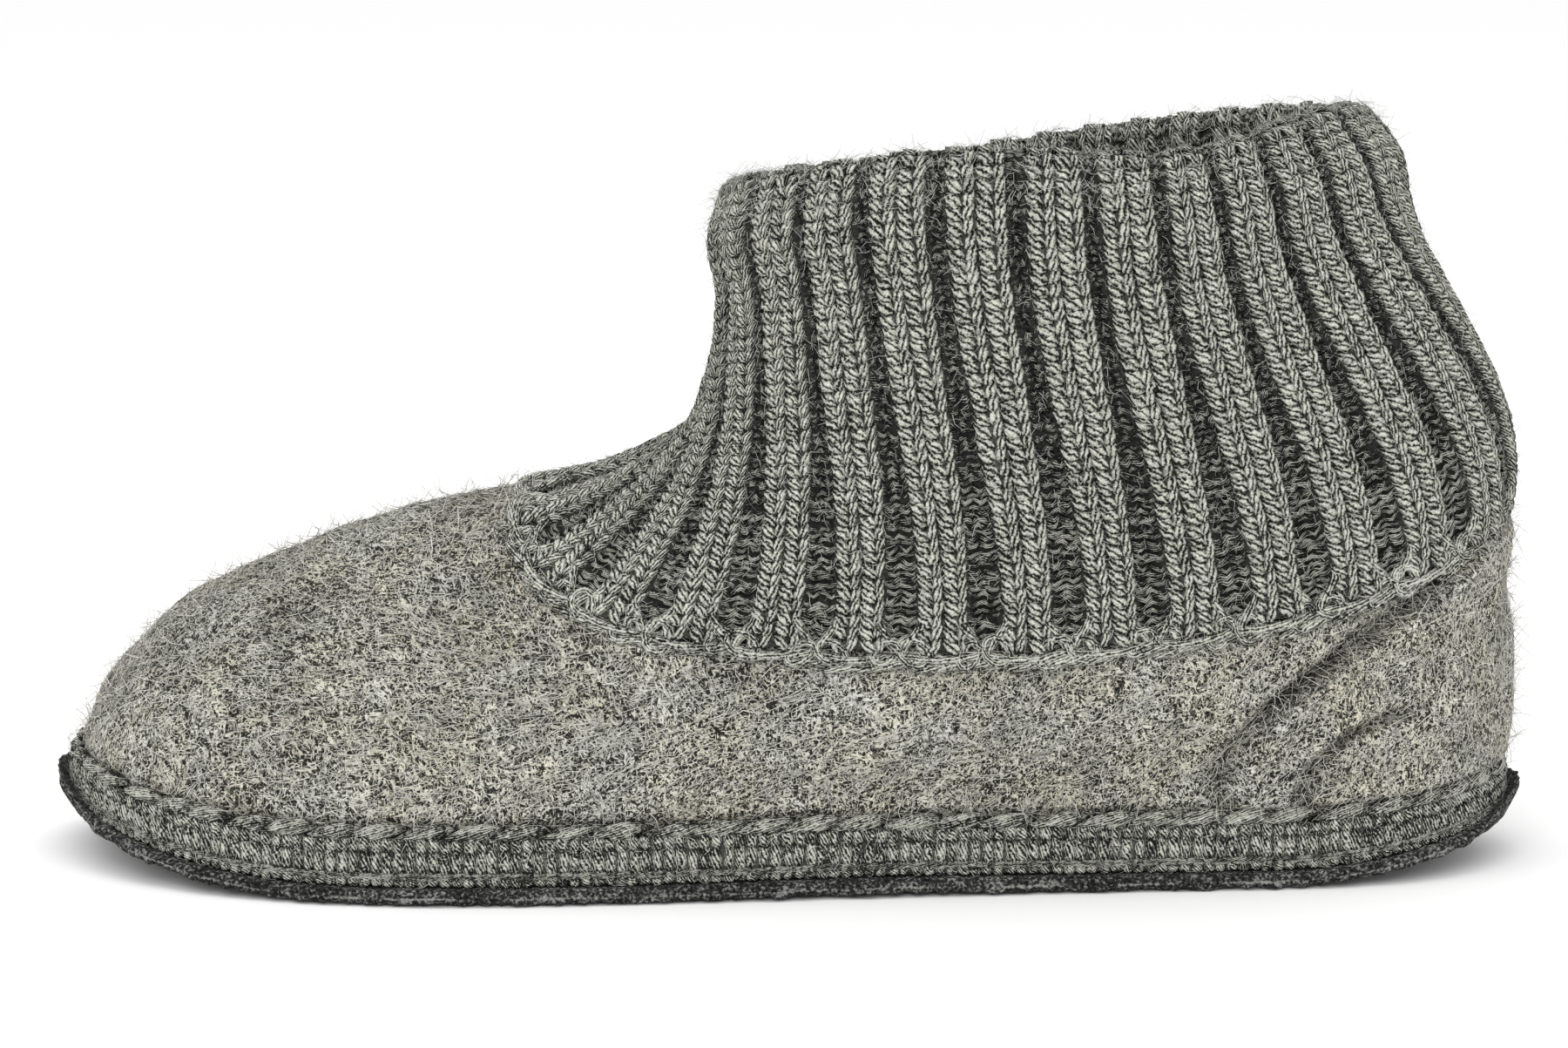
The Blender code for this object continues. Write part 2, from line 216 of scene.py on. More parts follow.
# %% Meshes from arrays
def grid_quads(rows, columns, close_rows=False, close_columns=True):
    """Corner numbers of a grid's faces: corner (r, c) is r * columns + c, and closed ways join up."""
    r = np.arange(rows if close_rows else rows - 1)[:, None]
    c = np.arange(columns if close_columns else columns - 1)[None, :]
    up, right = (r + 1) % rows, (c + 1) % columns
    quads = [r * columns + c, r * columns + right, up * columns + right, up * columns + c]
    return np.stack(np.broadcast_arrays(*quads), -1).reshape(-1, 4)


def add_piece(name, points, faces, finish, slot=None, stands_for=(), uv=None, tone=None):
    """Puts corners in millimetres and arrays of faces into one smooth mesh that rides on the shoe."""
    corners = np.concatenate([group.ravel() for group in faces])
    sizes = np.concatenate([np.full(len(group), group.shape[1]) for group in faces])
    data = bpy.data.meshes.new(name)
    data.vertices.add(len(points))
    data.vertices.foreach_set("co", (points * MM).astype(np.float32).ravel())
    data.loops.add(len(corners))
    data.loops.foreach_set("vertex_index", corners.astype(np.int32))
    data.polygons.add(len(sizes))
    data.polygons.foreach_set("loop_start", (np.cumsum(sizes) - sizes).astype(np.int32))
    data.update(calc_edges=True)
    if uv is not None:
        data.uv_layers.new(name="yarn").data.foreach_set("uv", uv[corners].astype(np.float32).ravel())
    if tone is not None:
        data.attributes.new("tone", "FLOAT", "POINT").data.foreach_set("value", tone.astype(np.float32))
    data.shade_smooth()
    data.materials.append(finish)
    piece = bpy.data.objects.new(name, data)
    bpy.context.scene.collection.objects.link(piece)
    if slot:
        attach(piece, "root")
    if stands_for:
        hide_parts(*stands_for)
    print(f"{name}: {len(points)} corners, {int((sizes - 2).sum())} triangles")
    return piece


# %% Strands from paths
def strand_rings(paths, facing, half_width, half_height, sides):
    """Rings round many paths at once: path + half_width cos(a) across + half_height sin(a) lift."""
    run = unit(np.gradient(paths, axis=1))
    across = unit(np.cross(facing, run))
    lift = np.cross(run, across)
    turn = 2 * np.pi * (np.arange(sides) + 0.5) / sides + np.pi / 2
    wide = np.asarray(half_width)[..., None, None] * np.cos(turn)[:, None] * across[:, :, None]
    tall = np.asarray(half_height)[..., None, None] * np.sin(turn)[:, None] * lift[:, :, None]
    return paths[:, :, None] + wide + tall


def strand_faces(count, steps, sides):
    """Faces of many strands: a grid closed round each one, and a cap of triangles or quads at both ends."""
    fan = [(0, 1, 2)] if sides == 3 else [(0, i, i + 1, i + 2) for i in range(1, sides - 2, 2)]
    fan = np.array(fan)
    caps = np.concatenate([fan[:, ::-1], fan + (steps - 1) * sides])
    first = np.arange(count)[:, None, None] * steps * sides
    width = caps.shape[1]
    return [(grid_quads(steps, sides) + first).reshape(-1, 4), (caps + first).reshape(-1, width)]


def add_strands(name, rings, finish, slot, tone, stands_for=(), twist=None):
    """All strands as one mesh, mapped by twist times along and by around, with tones by strand or ring."""
    count, steps, sides = rings.shape[:3]
    turned = ((np.arange(sides) + 0.5) / sides + 0.5) % 1.0
    along, around = np.meshgrid(np.linspace(0, 1, steps), turned, indexing="ij")
    uv = np.tile(np.stack([along, around], -1).reshape(1, -1, 2), (count, 1, 1))
    if twist is not None:
        uv[..., 0] *= twist[:, None]
    tones = np.repeat(tone, rings[..., 0].size // tone.size)
    faces = strand_faces(count, steps, sides)
    return add_piece(name, rings.reshape(-1, 3), faces, finish, slot, stands_for, uv.reshape(-1, 2), tones)


# %% Tables of a cloth
def grid_normals(table):
    """Outward unit normals of a table of points closed sideways: sideways crossed with upward steps."""
    run = np.roll(table, -1, 1) - np.roll(table, 1, 1)
    return unit(np.cross(run, np.gradient(table, axis=0)))


def sample(table, along, across):
    """Weighted mean of the four entries round a place: along 0 to 1, across a share of the way round."""
    rows, columns = table.shape[:2]
    r = np.clip(along, 0, 1) * (rows - 1)
    c = np.asarray(across) % 1.0 * columns
    low, left = np.minimum(r.astype(int), rows - 2), c.astype(int) % columns
    up, right = (r - low)[..., None], (c - np.floor(c))[..., None]
    after = (left + 1) % columns
    lower = table[low, left] * (1 - right) + table[low, after] * right
    upper = table[low + 1, left] * (1 - right) + table[low + 1, after] * right
    return lower * (1 - up) + upper * up


def smooth(x):
    """0 below 0, 1 above 1, and an S of 3x squared less 2x cubed between."""
    x = np.clip(x, 0, 1)
    return x * x * (3 - 2 * x)


# %% [markdown]
# The photograph was taken on white, with large soft lights. We lay a pale sheet that sweeps up behind the
# shoe, as a studio does, light it from above and from the front, and let a white sky fill the shadows.
# The lens is long and the camera looks down a little, so the sole shows as a flat edge and the far rim
# peeps over the near one.

# %% Studio
CAMERA_PLACE = Vector((-0.0004, -0.900, 0.207))
CAMERA_AIM = Vector((-0.0004, 0, 0.0608))
CAMERA_LENS, SENSOR_WIDTH = 114.4, 36
FLOOR_FRONT, FLOOR_BACK, FLOOR_END = -2500, 4200, 6500
SWEEP_RADIUS, FLOOR_HALF_WIDTH = 900, 4000
FLOOR_ROWS, FLOOR_COLUMNS = 81, 9
PAPER_COLOUR, PAPER_ROUGHNESS = (0.93, 0.93, 0.93, 1), 0.9
SKY_COLOUR, SKY_STRENGTH = (1, 1, 1, 1), 1.05


def floor_sweep(across, length):
    """A flat floor, then a quarter circle, then a wall: place and height from the length walked."""
    bend = np.clip((length - FLOOR_BACK) / SWEEP_RADIUS, 0, np.pi / 2)
    wall = np.clip(length - FLOOR_BACK - SWEEP_RADIUS * np.pi / 2, 0, None)
    depth = np.minimum(length, FLOOR_BACK) + SWEEP_RADIUS * np.sin(bend)
    return np.stack([across, depth, SWEEP_RADIUS * (1 - np.cos(bend)) + wall], -1)


def put_facing(thing, place, aim):
    """Sets a light or a camera at a place, turned to face a point, and links it to the scene."""
    thing.location = place
    thing.rotation_euler = (Vector(aim) - Vector(place)).to_track_quat("-Z", "Y").to_euler()
    bpy.context.scene.collection.objects.link(thing)


def area_light(name, place, aim, size, power):
    """A square soft light at a place, turned to face a point."""
    data = bpy.data.lights.new(name, "AREA")
    data.energy = power
    data.size = size
    put_facing(bpy.data.objects.new(name, data), place, aim)


# %% Paper, lights and sky
paper = bpy.data.materials.new("pale_paper")
paper.use_nodes = True
paper_shader = paper.node_tree.nodes["Principled BSDF"]
paper_shader.inputs["Base Color"].default_value = PAPER_COLOUR
paper_shader.inputs["Roughness"].default_value = PAPER_ROUGHNESS
floor_lengths = np.linspace(FLOOR_FRONT, FLOOR_END, FLOOR_ROWS)
floor_sides = np.linspace(-FLOOR_HALF_WIDTH, FLOOR_HALF_WIDTH, FLOOR_COLUMNS)
walked, aside = np.meshgrid(floor_lengths, floor_sides, indexing="ij")
floor_faces = grid_quads(FLOOR_ROWS, FLOOR_COLUMNS, close_columns=False)
add_piece("floor", floor_sweep(aside, walked).reshape(-1, 3), [floor_faces], paper)

area_light("top_light", place=(-0.10, -0.25, 1.30), aim=(0, 0, 0.05), size=0.9, power=3.5)
area_light("front_light", place=(-0.2, -1.5, 0.95), aim=(0, 0, 0.06), size=0.9, power=9)
world = bpy.data.worlds.new("white_room")
world.use_nodes = True
sky = world.node_tree.nodes["Background"]
sky.inputs["Color"].default_value = SKY_COLOUR
sky.inputs["Strength"].default_value = SKY_STRENGTH
bpy.context.scene.world = world
bpy.context.scene.view_settings.view_transform = "Standard"

# %% Camera
camera_data = bpy.data.cameras.new("camera")
camera_data.lens = CAMERA_LENS
camera_data.sensor_width = SENSOR_WIDTH
camera = bpy.data.objects.new("camera", camera_data)
put_facing(camera, CAMERA_PLACE, CAMERA_AIM)
bpy.context.scene.camera = camera
sight = CAMERA_AIM - CAMERA_PLACE
print("camera looks down by", round(np.degrees(np.arctan2(-sight.z, sight.y)), 1), "degrees")

# %% [markdown]
# Finishes are small networks of nodes. A few helpers keep them readable: one adds a node and plugs in its
# sockets, others add a sum, a noise, a row of colours or a bump. Everything is measured from the object's
# own coordinates in metres, from the map of a strand, or from a tone that we store at each corner of the
# mesh.

# %% Node helpers
def node(tree, kind, sockets=None, **settings):
    """A node with settings and sockets filled in; a socket given another's output is linked to it."""
    made = tree.nodes.new(kind)
    for name, value in settings.items():
        setattr(made, name, value)
    for name, value in (sockets or {}).items():
        if isinstance(value, bpy.types.NodeSocket):
            tree.links.new(value, made.inputs[name])
        else:
            made.inputs[name].default_value = value
    return made


def maths(tree, operation, *values):
    """One sum of up to three numbers or outputs."""
    return node(tree, "ShaderNodeMath", dict(enumerate(values)), operation=operation).outputs[0]


def cloud(tree, place, scale, detail=1.0, distortion=0.0):
    """Soft noise from 0 to 1 with lumps of 1 / scale metres."""
    sockets = {"Vector": place, "Scale": scale, "Detail": detail, "Distortion": distortion}
    return node(tree, "ShaderNodeTexNoise", sockets).outputs["Fac"]


def ramp(tree, value, stops, brightness=1.0):
    """A colour looked up along stops of place and linear colour, times a brightness."""
    made = node(tree, "ShaderNodeValToRGB", {"Fac": value})
    elements = made.color_ramp.elements
    while len(elements) < len(stops):
        elements.new(0.5)
    for element, (place, colour) in zip(elements, stops):
        element.position = place
        element.color = (*(brightness * part for part in colour), 1)
    return made.outputs["Color"]


def tone_of(tree):
    """The tone that the piece stores at each of its corners. On the felt, the knit and the binding it holds
    painted shade and painted light, with a random tone on the strands; on the hairs and the sole it is
    their own tone.
    """
    return node(tree, "ShaderNodeAttribute", attribute_name="tone").outputs["Fac"]


# %% Shader of wool
WOOL_GLOSS, SHEEN_ROUGHNESS = 0.15, 0.6


def wool_shader(name, roughness, sheen):
    """A matt Principled material with the soft edge glow of wool, and the object's own coordinates."""
    made = bpy.data.materials.new(name)
    made.use_nodes = True
    tree = made.node_tree
    shader = tree.nodes["Principled BSDF"]
    shader.inputs["Roughness"].default_value = roughness
    shader.inputs["Specular IOR Level"].default_value = WOOL_GLOSS
    shader.inputs["Sheen Weight"].default_value = sheen
    shader.inputs["Sheen Roughness"].default_value = SHEEN_ROUGHNESS
    place = node(tree, "ShaderNodeTexCoord").outputs["Object"]
    return made, tree, shader, place


def put_colour(tree, shader, colour):
    """Plugs a colour into the shader."""
    tree.links.new(colour, shader.inputs["Base Color"])


def put_bump(tree, shader, height, depth):
    """Turns a height into a bump of that depth in metres."""
    bump = node(tree, "ShaderNodeBump", {"Height": height, "Distance": depth, "Strength": 1.0})
    tree.links.new(bump.outputs["Normal"], shader.inputs["Normal"])


# %% [markdown]
# Boiled wool is knitted loose, then washed hot until the fibres mat together. Close up it is a tangle of
# short pale fibres over dark gaps, with patches where darker, lighter, warmer and cooler fleeces were
# blended. A flat picture would stretch over the toe, so we draw the fibres in space. Noise that is pulled
# out one way gives strokes, and four layers of strokes in different directions cross each other like
# matted fibre.

# %% Felt finish
Fibres = namedtuple("Fibres", "turn shift scale")
FIBRE_LAYERS = (
    Fibres((0, 0, 1.3), (0, 0, 0), 1750),
    Fibres((1.3, 0, 0.1), (0.3, 0.1, 0.2), 2000),
    Fibres((0.8, 0, 0.9), (0.1, 0.5, 0.3), 1600),
    Fibres((-0.7, 0, 0.8), (0.2, 0.3, 0.6), 1900),
)
FIBRE_PULL, FIBRE_BOTTOM, FIBRE_TOP = (1.0, 4.0, 1.0), 0.50, 0.68
GRAIN_SHARE, BLOTCH_SHARE, TUFT_SHARE, FELT_OFFSET = 0.75, 0.48, 0.42, -0.93
TUFT_BUMP, FELT_BUMP = 1.2, 0.0009
FELT_STOPS = (
    (0.16, (0.012, 0.011, 0.008)), (0.36, (0.080, 0.077, 0.060)),
    (0.58, (0.29, 0.281, 0.242)), (0.92, (0.73, 0.712, 0.642)),
)
FLEECE_STOPS = ((0.34, (1.0, 0.975, 0.875)), (0.66, (0.95, 0.975, 0.985)))
MIX_FACTOR, MIX_FIRST, MIX_SECOND, MIX_RESULT = 0, 6, 7, 2


def strokes(tree, place, layer):
    """Short curly fibres: noise pulled out one way in turned coordinates, cut to its peaks."""
    turned = {"Vector": place, "Rotation": layer.turn, "Location": layer.shift, "Scale": FIBRE_PULL}
    moved = node(tree, "ShaderNodeMapping", turned, vector_type="TEXTURE").outputs[0]
    pulled = cloud(tree, moved, layer.scale, detail=0.0, distortion=1.4)
    peaks = {"Value": pulled, "From Min": FIBRE_BOTTOM, "From Max": FIBRE_TOP}
    return node(tree, "ShaderNodeMapRange", peaks).outputs[0]


def felt_finish(name, brightness):
    """The highest of the layers of fibres, plus grain and blotches, times the tone, which on the shell is
    painted shade; tinted by fleece.
    """
    made, tree, shader, place = wool_shader(name, roughness=0.95, sheen=0.05)
    fibres = strokes(tree, place, FIBRE_LAYERS[0])
    for layer in FIBRE_LAYERS[1:]:
        fibres = maths(tree, "MAXIMUM", fibres, strokes(tree, place, layer))
    rough = maths(tree, "MULTIPLY_ADD", cloud(tree, place, 2700), GRAIN_SHARE, fibres)
    blotch = cloud(tree, place, 60, detail=2.0, distortion=0.3)
    tuft = cloud(tree, place, 190, detail=1.5, distortion=0.4)
    patch = maths(tree, "MULTIPLY_ADD", tuft, TUFT_SHARE, FELT_OFFSET)
    patch = maths(tree, "MULTIPLY_ADD", blotch, BLOTCH_SHARE, patch)
    shown = maths(tree, "MULTIPLY", maths(tree, "ADD", rough, patch), tone_of(tree))
    grey = ramp(tree, shown, FELT_STOPS, brightness)
    fleece = ramp(tree, cloud(tree, place, 85, detail=2.0, distortion=0.5), FLEECE_STOPS)
    colours = {MIX_FACTOR: 1.0, MIX_FIRST: grey, MIX_SECOND: fleece}
    blend = node(tree, "ShaderNodeMix", colours, data_type="RGBA", blend_type="MULTIPLY")
    put_colour(tree, shader, blend.outputs[MIX_RESULT])
    put_bump(tree, shader, maths(tree, "MULTIPLY_ADD", tuft, TUFT_BUMP, rough), FELT_BUMP)
    return made


felt = felt_finish("boiled_wool", brightness=1.0)

# %% [markdown]
# The upper is one shell of felt. A second layer, the heel counter, stiffens the back and is cut on a slant.
# Its edge makes a deep crease with a ridge behind it, and a second, shorter crease runs inside. We give
# both as short tables of row and step on the wall, measure how far each point of the shell is from them,
# and push the wall out or in.

# %% Creases of the heel
FELT_COLUMNS, FELT_ROWS, CREASE_POINTS = 576, 62, 140
STEP_WIDTH, ROW_HEIGHT = 8.2, 6.3
GROOVE_DEPTH, RIDGE_HEIGHT, TROUGH_DEPTH, WELT_HEIGHT = 2.6, 0.9, 1.5, 0.5
GROOVE_SHADE, FOLD_SHADE, TROUGH_SHADE = 0.40, 0.30, 0.46
Crease = namedtuple("Crease", "row steps")
COUNTER_EDGE = (
    Crease(-0.4, 9.2), Crease(0.5, 9.3), Crease(1, 9.4), Crease(2, 9.5), Crease(3, 9.5), Crease(4, 9.2),
    Crease(5, 8.7), Crease(6, 7.6), Crease(6.5, 6.6), Crease(7, 5.3), Crease(7.8, 3.5), Crease(8.3, 2.4),
)
INNER_CREASE = (
    Crease(-0.4, 7.7), Crease(1.0, 7.95), Crease(2.0, 7.8),
    Crease(3.0, 7.25), Crease(3.3, 6.2), Crease(3.3, 5.2),
)


def bell(distance, width):
    """A bell curve, 1 in the middle: e to the power of minus the square of distance over width."""
    return np.exp(-((distance / width) ** 2))


def crease_distance(crease, rows, steps):
    """Millimetres on the unrolled heel from each place to the nearest of many points on the crease."""
    marks = np.array(crease, float)
    fine = np.linspace(0, len(marks) - 1, CREASE_POINTS)
    path = np.stack([np.interp(fine, np.arange(len(marks)), column) for column in marks.T], -1)
    path[1:-1] = (path[:-2] + path[1:-1] + path[2:]) / 3
    gap = np.stack([rows[..., None] - path[:, 0], steps[..., None] - path[:, 1]], -1)
    return np.linalg.norm(gap * (ROW_HEIGHT, STEP_WIDTH), axis=-1).min(-1)


def counter_relief(rows, steps):
    """A step up at the counter's edge, a groove before it, a ridge behind it, and a soft inner trough; also
    a painted shade that darkens the groove, the fold at the edge and the trough.
    """
    away = crease_distance(COUNTER_EDGE, rows, steps)
    reach = np.interp(rows, [mark.row for mark in COUNTER_EDGE], [mark.steps for mark in COUNTER_EDGE])
    away = np.where(steps < reach, away, -away)
    # Rows and steps count cells of the wall; away and inner are millimetres from a crease.
    deep = 0.55 + 0.45 * smooth((rows - 2.5) / 2.5)
    step = (GAP + COUNTER_THICKNESS) * smooth((away + 1.0) / 3.0)
    groove = bell(away + 1.5, 2.0)
    ridge = RIDGE_HEIGHT * deep * bell(away - 3.0, 2.0)
    inner = crease_distance(INNER_CREASE, rows, steps)
    fades_back = smooth((steps - 4.8) / 1.5)
    trough = fades_back * bell(inner, 1.5)
    welt = WELT_HEIGHT * fades_back * bell(inner - 3.2, 1.6)
    settle = smooth((rows + 0.1) / 0.7)
    under_hem = 1 - 0.6 * smooth((rows - 7.3) / 0.7)
    height = (step + ridge - GROOVE_DEPTH * deep * groove) * settle * under_hem
    height = height - (TROUGH_DEPTH * trough - welt) * settle
    # Painted shade: the groove, the fold at the counter's edge and the inner trough are darkened in the
    # colour.
    fold = bell(away + 1.7, 0.9)
    shade = 1 - (GROOVE_SHADE * groove + FOLD_SHADE * fold) * deep * under_hem - TROUGH_SHADE * trough
    return height, shade


# %% Felt shell
HEEL_STEPS = 12
FOOT_ROLL, LUMP_HEIGHT = 1.3, 0.42
FOOT_SHADE, HEM_SHADE, TOP_SHADE = 0.25, 0.30, 0.22


def lumps(points, waves, shortest, longest):
    """A sum of sines along random directions, with wavelengths between two sizes and a height near 1."""
    length = chance.uniform(shortest, longest, waves)
    way = unit(chance.normal(size=(waves, 3))) * (2 * np.pi / length)[:, None]
    return np.sin(points @ way.T + chance.uniform(0, 2 * np.pi, waves)).sum(-1) / np.sqrt(waves)


turns = TURN * np.arange(FELT_COLUMNS) / FELT_COLUMNS
heights = np.linspace(0, 1, FELT_ROWS + 1)
wool = wool_wall(turns[None, :], heights[:, None])
wool_facing = grid_normals(wool)
near_back = np.minimum(turns, TURN - turns) * SOLE_STEPS / TURN
heel = near_back < HEEL_STEPS
relief = np.zeros(wool.shape[:2])
felt_painted_shade = np.ones(wool.shape[:2])
at_heel = np.broadcast_arrays(heights[:, None] * UPPER_ROWS, near_back[None, heel])
relief[:, heel], felt_painted_shade[:, heel] = counter_relief(*at_heel)
climbed = np.linalg.norm(np.diff(wool, axis=0), axis=-1).cumsum(0)
above_braid = np.concatenate([np.zeros((1, FELT_COLUMNS)), climbed])
relief += FOOT_ROLL * bell(above_braid, 3.5)
relief += LUMP_HEIGHT * lumps(wool, waves=18, shortest=9, longest=26) * smooth(above_braid / 6)
wool = wool + relief[..., None] * wool_facing
wool_facing = grid_normals(wool)
# Painted shade: the felt is darker at its foot above the binding, under the hem of the cuff, and on faces
# that turn upwards.
felt_painted_shade *= 1 - FOOT_SHADE * bell(above_braid, 1.5)
felt_painted_shade *= 1 - HEM_SHADE * bell(above_braid[-1] - above_braid, 2.0)
felt_painted_shade *= 1 - TOP_SHADE * np.clip(wool_facing[..., 2], 0, 1)

# %% Lining and mesh of the felt
LINING_SKIP = 8
lining = wool_wall(turns[None, :], heights[::-LINING_SKIP][:, None])
lining = lining - FELT_THICKNESS * grid_normals(lining[::-1])[::-1]
foot = SOLE_THICKNESS + GAP
tuck = [edge_ring(turns, WOOL_INSET + FELT_THICKNESS, height)[None] for height in (BRAID_TOP, foot)]
shell = np.concatenate([edge_ring(turns, WOOL_INSET, foot)[None], wool, lining[:-1]] + tuck)
shell_faces = grid_quads(len(shell), FELT_COLUMNS, close_rows=True)
# The shell's tone is painted shade on the outer face, and 1 on the foot ring, the lining and the tuck.
shell_painted_shade = np.ones(shell.shape[:2])
shell_painted_shade[1 : FELT_ROWS + 2] = felt_painted_shade
add_piece(
    "felt_upper", shell.reshape(-1, 3), [shell_faces], felt, "upper", ("upper", "heel_counter"),
    tone=shell_painted_shade.ravel(),
)

# %% [markdown]
# Wool never ends at a clean edge: single hairs curl off the mat and catch the light along the outline. A
# hair system could grow them, but plain little tubes travel with the model anywhere. Each one starts on
# the shell, wanders along it with a curl of its own, and lifts off towards its tip.

# %% Paths of hairs
HAIR_STEPS, HAIR_ROOT, HAIR_RISE = 3, 0.05, 1.6


def hairs(points, facing, count, length, curl, lift):
    """Paths that walk over a cloth from random places, curling, and rising as a power of length."""
    run = np.linalg.norm(np.roll(points, -1, 1) - points, axis=-1) * points.shape[1]
    rise = np.linalg.norm(np.gradient(points, axis=0), axis=-1) * (points.shape[0] - 1)
    area = run * rise
    cell = chance.choice(area.size, count, p=(area / area.sum()).ravel())
    along = (cell // area.shape[1] + chance.random(count)) / (area.shape[0] - 1)
    across = (cell % area.shape[1] + chance.random(count)) / area.shape[1]
    reach = chance.uniform(*length, count)[:, None]
    q = np.linspace(0, 1, HAIR_STEPS)
    start = chance.uniform(0, 2 * np.pi, count)[:, None]
    heading = start + chance.normal(0, curl, count)[:, None] * reach * q
    pace = reach / (HAIR_STEPS - 1)
    walked = np.cumsum(np.stack([np.cos(heading), np.sin(heading)], -1) * pace[..., None], 1)
    width, height = run.ravel()[cell][:, None], rise.ravel()[cell][:, None]
    here = (along[:, None] + walked[..., 1] / height, across[:, None] + walked[..., 0] / width)
    up = sample(facing, *here)
    return sample(points, *here) + (HAIR_ROOT + lift[:, None] * q**HAIR_RISE)[..., None] * up, up


def hair_lift(count, low, high, share_high):
    """Most hairs stay near the cloth, and a share of them stand off it."""
    tall = chance.random(count) < share_high
    return np.where(tall, chance.uniform(0.3, 1.0, count) * high, chance.random(count) * low)


# %% Felt hairs
HAIR_SIDES, HAIR_TIP, DARK_HAIR = 3, 0.5, 0.25
FELT_HAIRS = 13500


def hair_finish(name, colour):
    """One wool colour, lighter or darker from hair to hair."""
    made, tree, shader, _ = wool_shader(name, roughness=0.8, sheen=0.2)
    dark = tuple(DARK_HAIR * part for part in colour)
    put_colour(tree, shader, ramp(tree, tone_of(tree), ((0.0, dark), (1.0, colour))))
    return made


def add_hairs(name, walk, thickness, finish, slot):
    """Hairs as three-sided tubes that thin towards the tip, most of them light and a few dark."""
    paths, up = walk
    count = len(paths)
    thin = np.linspace(1, HAIR_TIP, HAIR_STEPS) * chance.uniform(*thickness, count)[:, None]
    rings = strand_rings(paths, up, thin, thin, HAIR_SIDES)
    add_strands(name, rings, finish, slot, chance.beta(2.2, 1.2, count))


felt_hair = hair_finish("felt_hair", (0.80, 0.79, 0.71))
lift = hair_lift(FELT_HAIRS, low=0.5, high=3.8, share_high=0.45)
walk = hairs(wool, wool_facing, FELT_HAIRS, length=(1.8, 5.5), curl=0.5, lift=lift)
add_hairs("felt_hairs", walk, (0.05, 0.09), felt_hair, "upper")

# %% [markdown]
# The cuff is a knitted tube, folded over at the rim so that it is double. Its ribs are two columns of
# knit stitches, and between them two columns of purl stitches sink into a trough. We first lay out the
# cloth itself as a table: rows of stitches from the hem up the outside, over the fold and down the
# inside. Stitches then only need cloth coordinates.

# %% Cloth of the cuff
OUTER_ROWS, FOLD_ROWS, INNER_ROWS, HEM_ROWS, ROW_PARTS = 38, 3, 36, 2, 4
ALL_ROWS = OUTER_ROWS + FOLD_ROWS + INNER_ROWS
RIB_COLUMNS = 16
CLOTH_COLUMNS = RIB_COUNT * RIB_COLUMNS
Drift = namedtuple("Drift", "ribs shift")
RIB_DRIFT = (
    Drift(-15, 1.2), Drift(-10, 1.4), Drift(-5, 1.9), Drift(0, 2.6), Drift(4.4, 2.9),
    Drift(5.9, 2.6), Drift(7.4, 2.1), Drift(9, 1.5), Drift(10.4, 1.2), Drift(15, 1.2),
)


def drifted(share):
    """The rim's share for a share of the hem: the knit is wrung by a shift that depends on the place."""
    ribs = (np.mod(share, 1) - 0.5) * RIB_COUNT
    shift = np.interp(ribs, [mark.ribs for mark in RIB_DRIFT], [mark.shift for mark in RIB_DRIFT])
    return share - shift / RIB_COUNT


# %% Outside of the cloth
CLIMB_STEPS, RIM_TRIM = 241, 0.6
ROLL_OUT, ROLL_BELOW, ROLL_WIDTH, ROLL_IN, TUCK_WIDTH = 1.6, 9, 6, 0.9, 3.2
shares = np.arange(CLOTH_COLUMNS) / CLOTH_COLUMNS - 0.5 / RIB_COUNT
seam_at = even_parameters(SEAM, shares)[None, :]
rim_at = even_parameters(RIM, drifted(shares))[None, :]
levels = np.linspace(0, 1, CLIMB_STEPS)
rough = knit_wall(seam_at, rim_at, levels[:, None])
climb = np.linalg.norm(np.diff(rough, axis=0), axis=-1).cumsum(0)
climb = np.vstack([np.zeros(CLOTH_COLUMNS), climb])
parts = np.linspace(0, 1, OUTER_ROWS * ROW_PARTS + 1)
even = np.stack([np.interp(parts * (c[-1] - RIM_TRIM), c, levels) for c in climb.T], 1)
outside = knit_wall(seam_at, rim_at, even)
below_rim = (1 - parts)[:, None] * climb[-1]
roll = ROLL_OUT * bell(below_rim - ROLL_BELOW, ROLL_WIDTH) - ROLL_IN * bell(below_rim, TUCK_WIDTH)
outside = outside + roll[..., None] * grid_normals(outside)
out = grid_normals(outside)
stitch_heights = climb[-1] / OUTER_ROWS
print("stitch height, mm:", np.round(stitch_heights.min(), 2), "to", np.round(stitch_heights.max(), 2))

# %% Hem, fold and inside of the cloth
FOLD_RADIUS, LINING_GAP, LINING_CLOSING = 1.8, 0.8, 24.0
top_way = unit(outside[-1] - outside[-3])
hem_way = outside[1] - outside[0]
hem = outside[0] - np.arange(HEM_ROWS * ROW_PARTS, 0, -1)[:, None, None] * hem_way
bend = np.linspace(0, np.pi, FOLD_ROWS * ROW_PARTS + 1)[1:, None, None]
fold_out = np.cos(bend) * out[-1] + np.sin(bend) * top_way
fold = outside[-1] - FOLD_RADIUS * out[-1] + FOLD_RADIUS * fold_out
back = slice(-2, -2 - INNER_ROWS * ROW_PARTS, -1)
closing = np.exp(-np.arange(1, INNER_ROWS * ROW_PARTS + 1) / LINING_CLOSING)[:, None, None]
inside = outside[back] - 2 * (LINING_GAP + (FOLD_RADIUS - LINING_GAP) * closing) * out[back]
cloth = np.concatenate([hem, outside, fold, inside])
cloth_out = np.concatenate([np.repeat(out[:1], len(hem), 0), out, fold_out, -out[back]])
two_columns = np.linalg.norm(np.roll(cloth, -1, 1) - np.roll(cloth, 1, 1), axis=-1)[..., None]
rib_pitch = two_columns * RIB_COLUMNS / 2
print("rib pitch, mm:", np.round(rib_pitch.min(), 1), "to", np.round(rib_pitch.max(), 1))


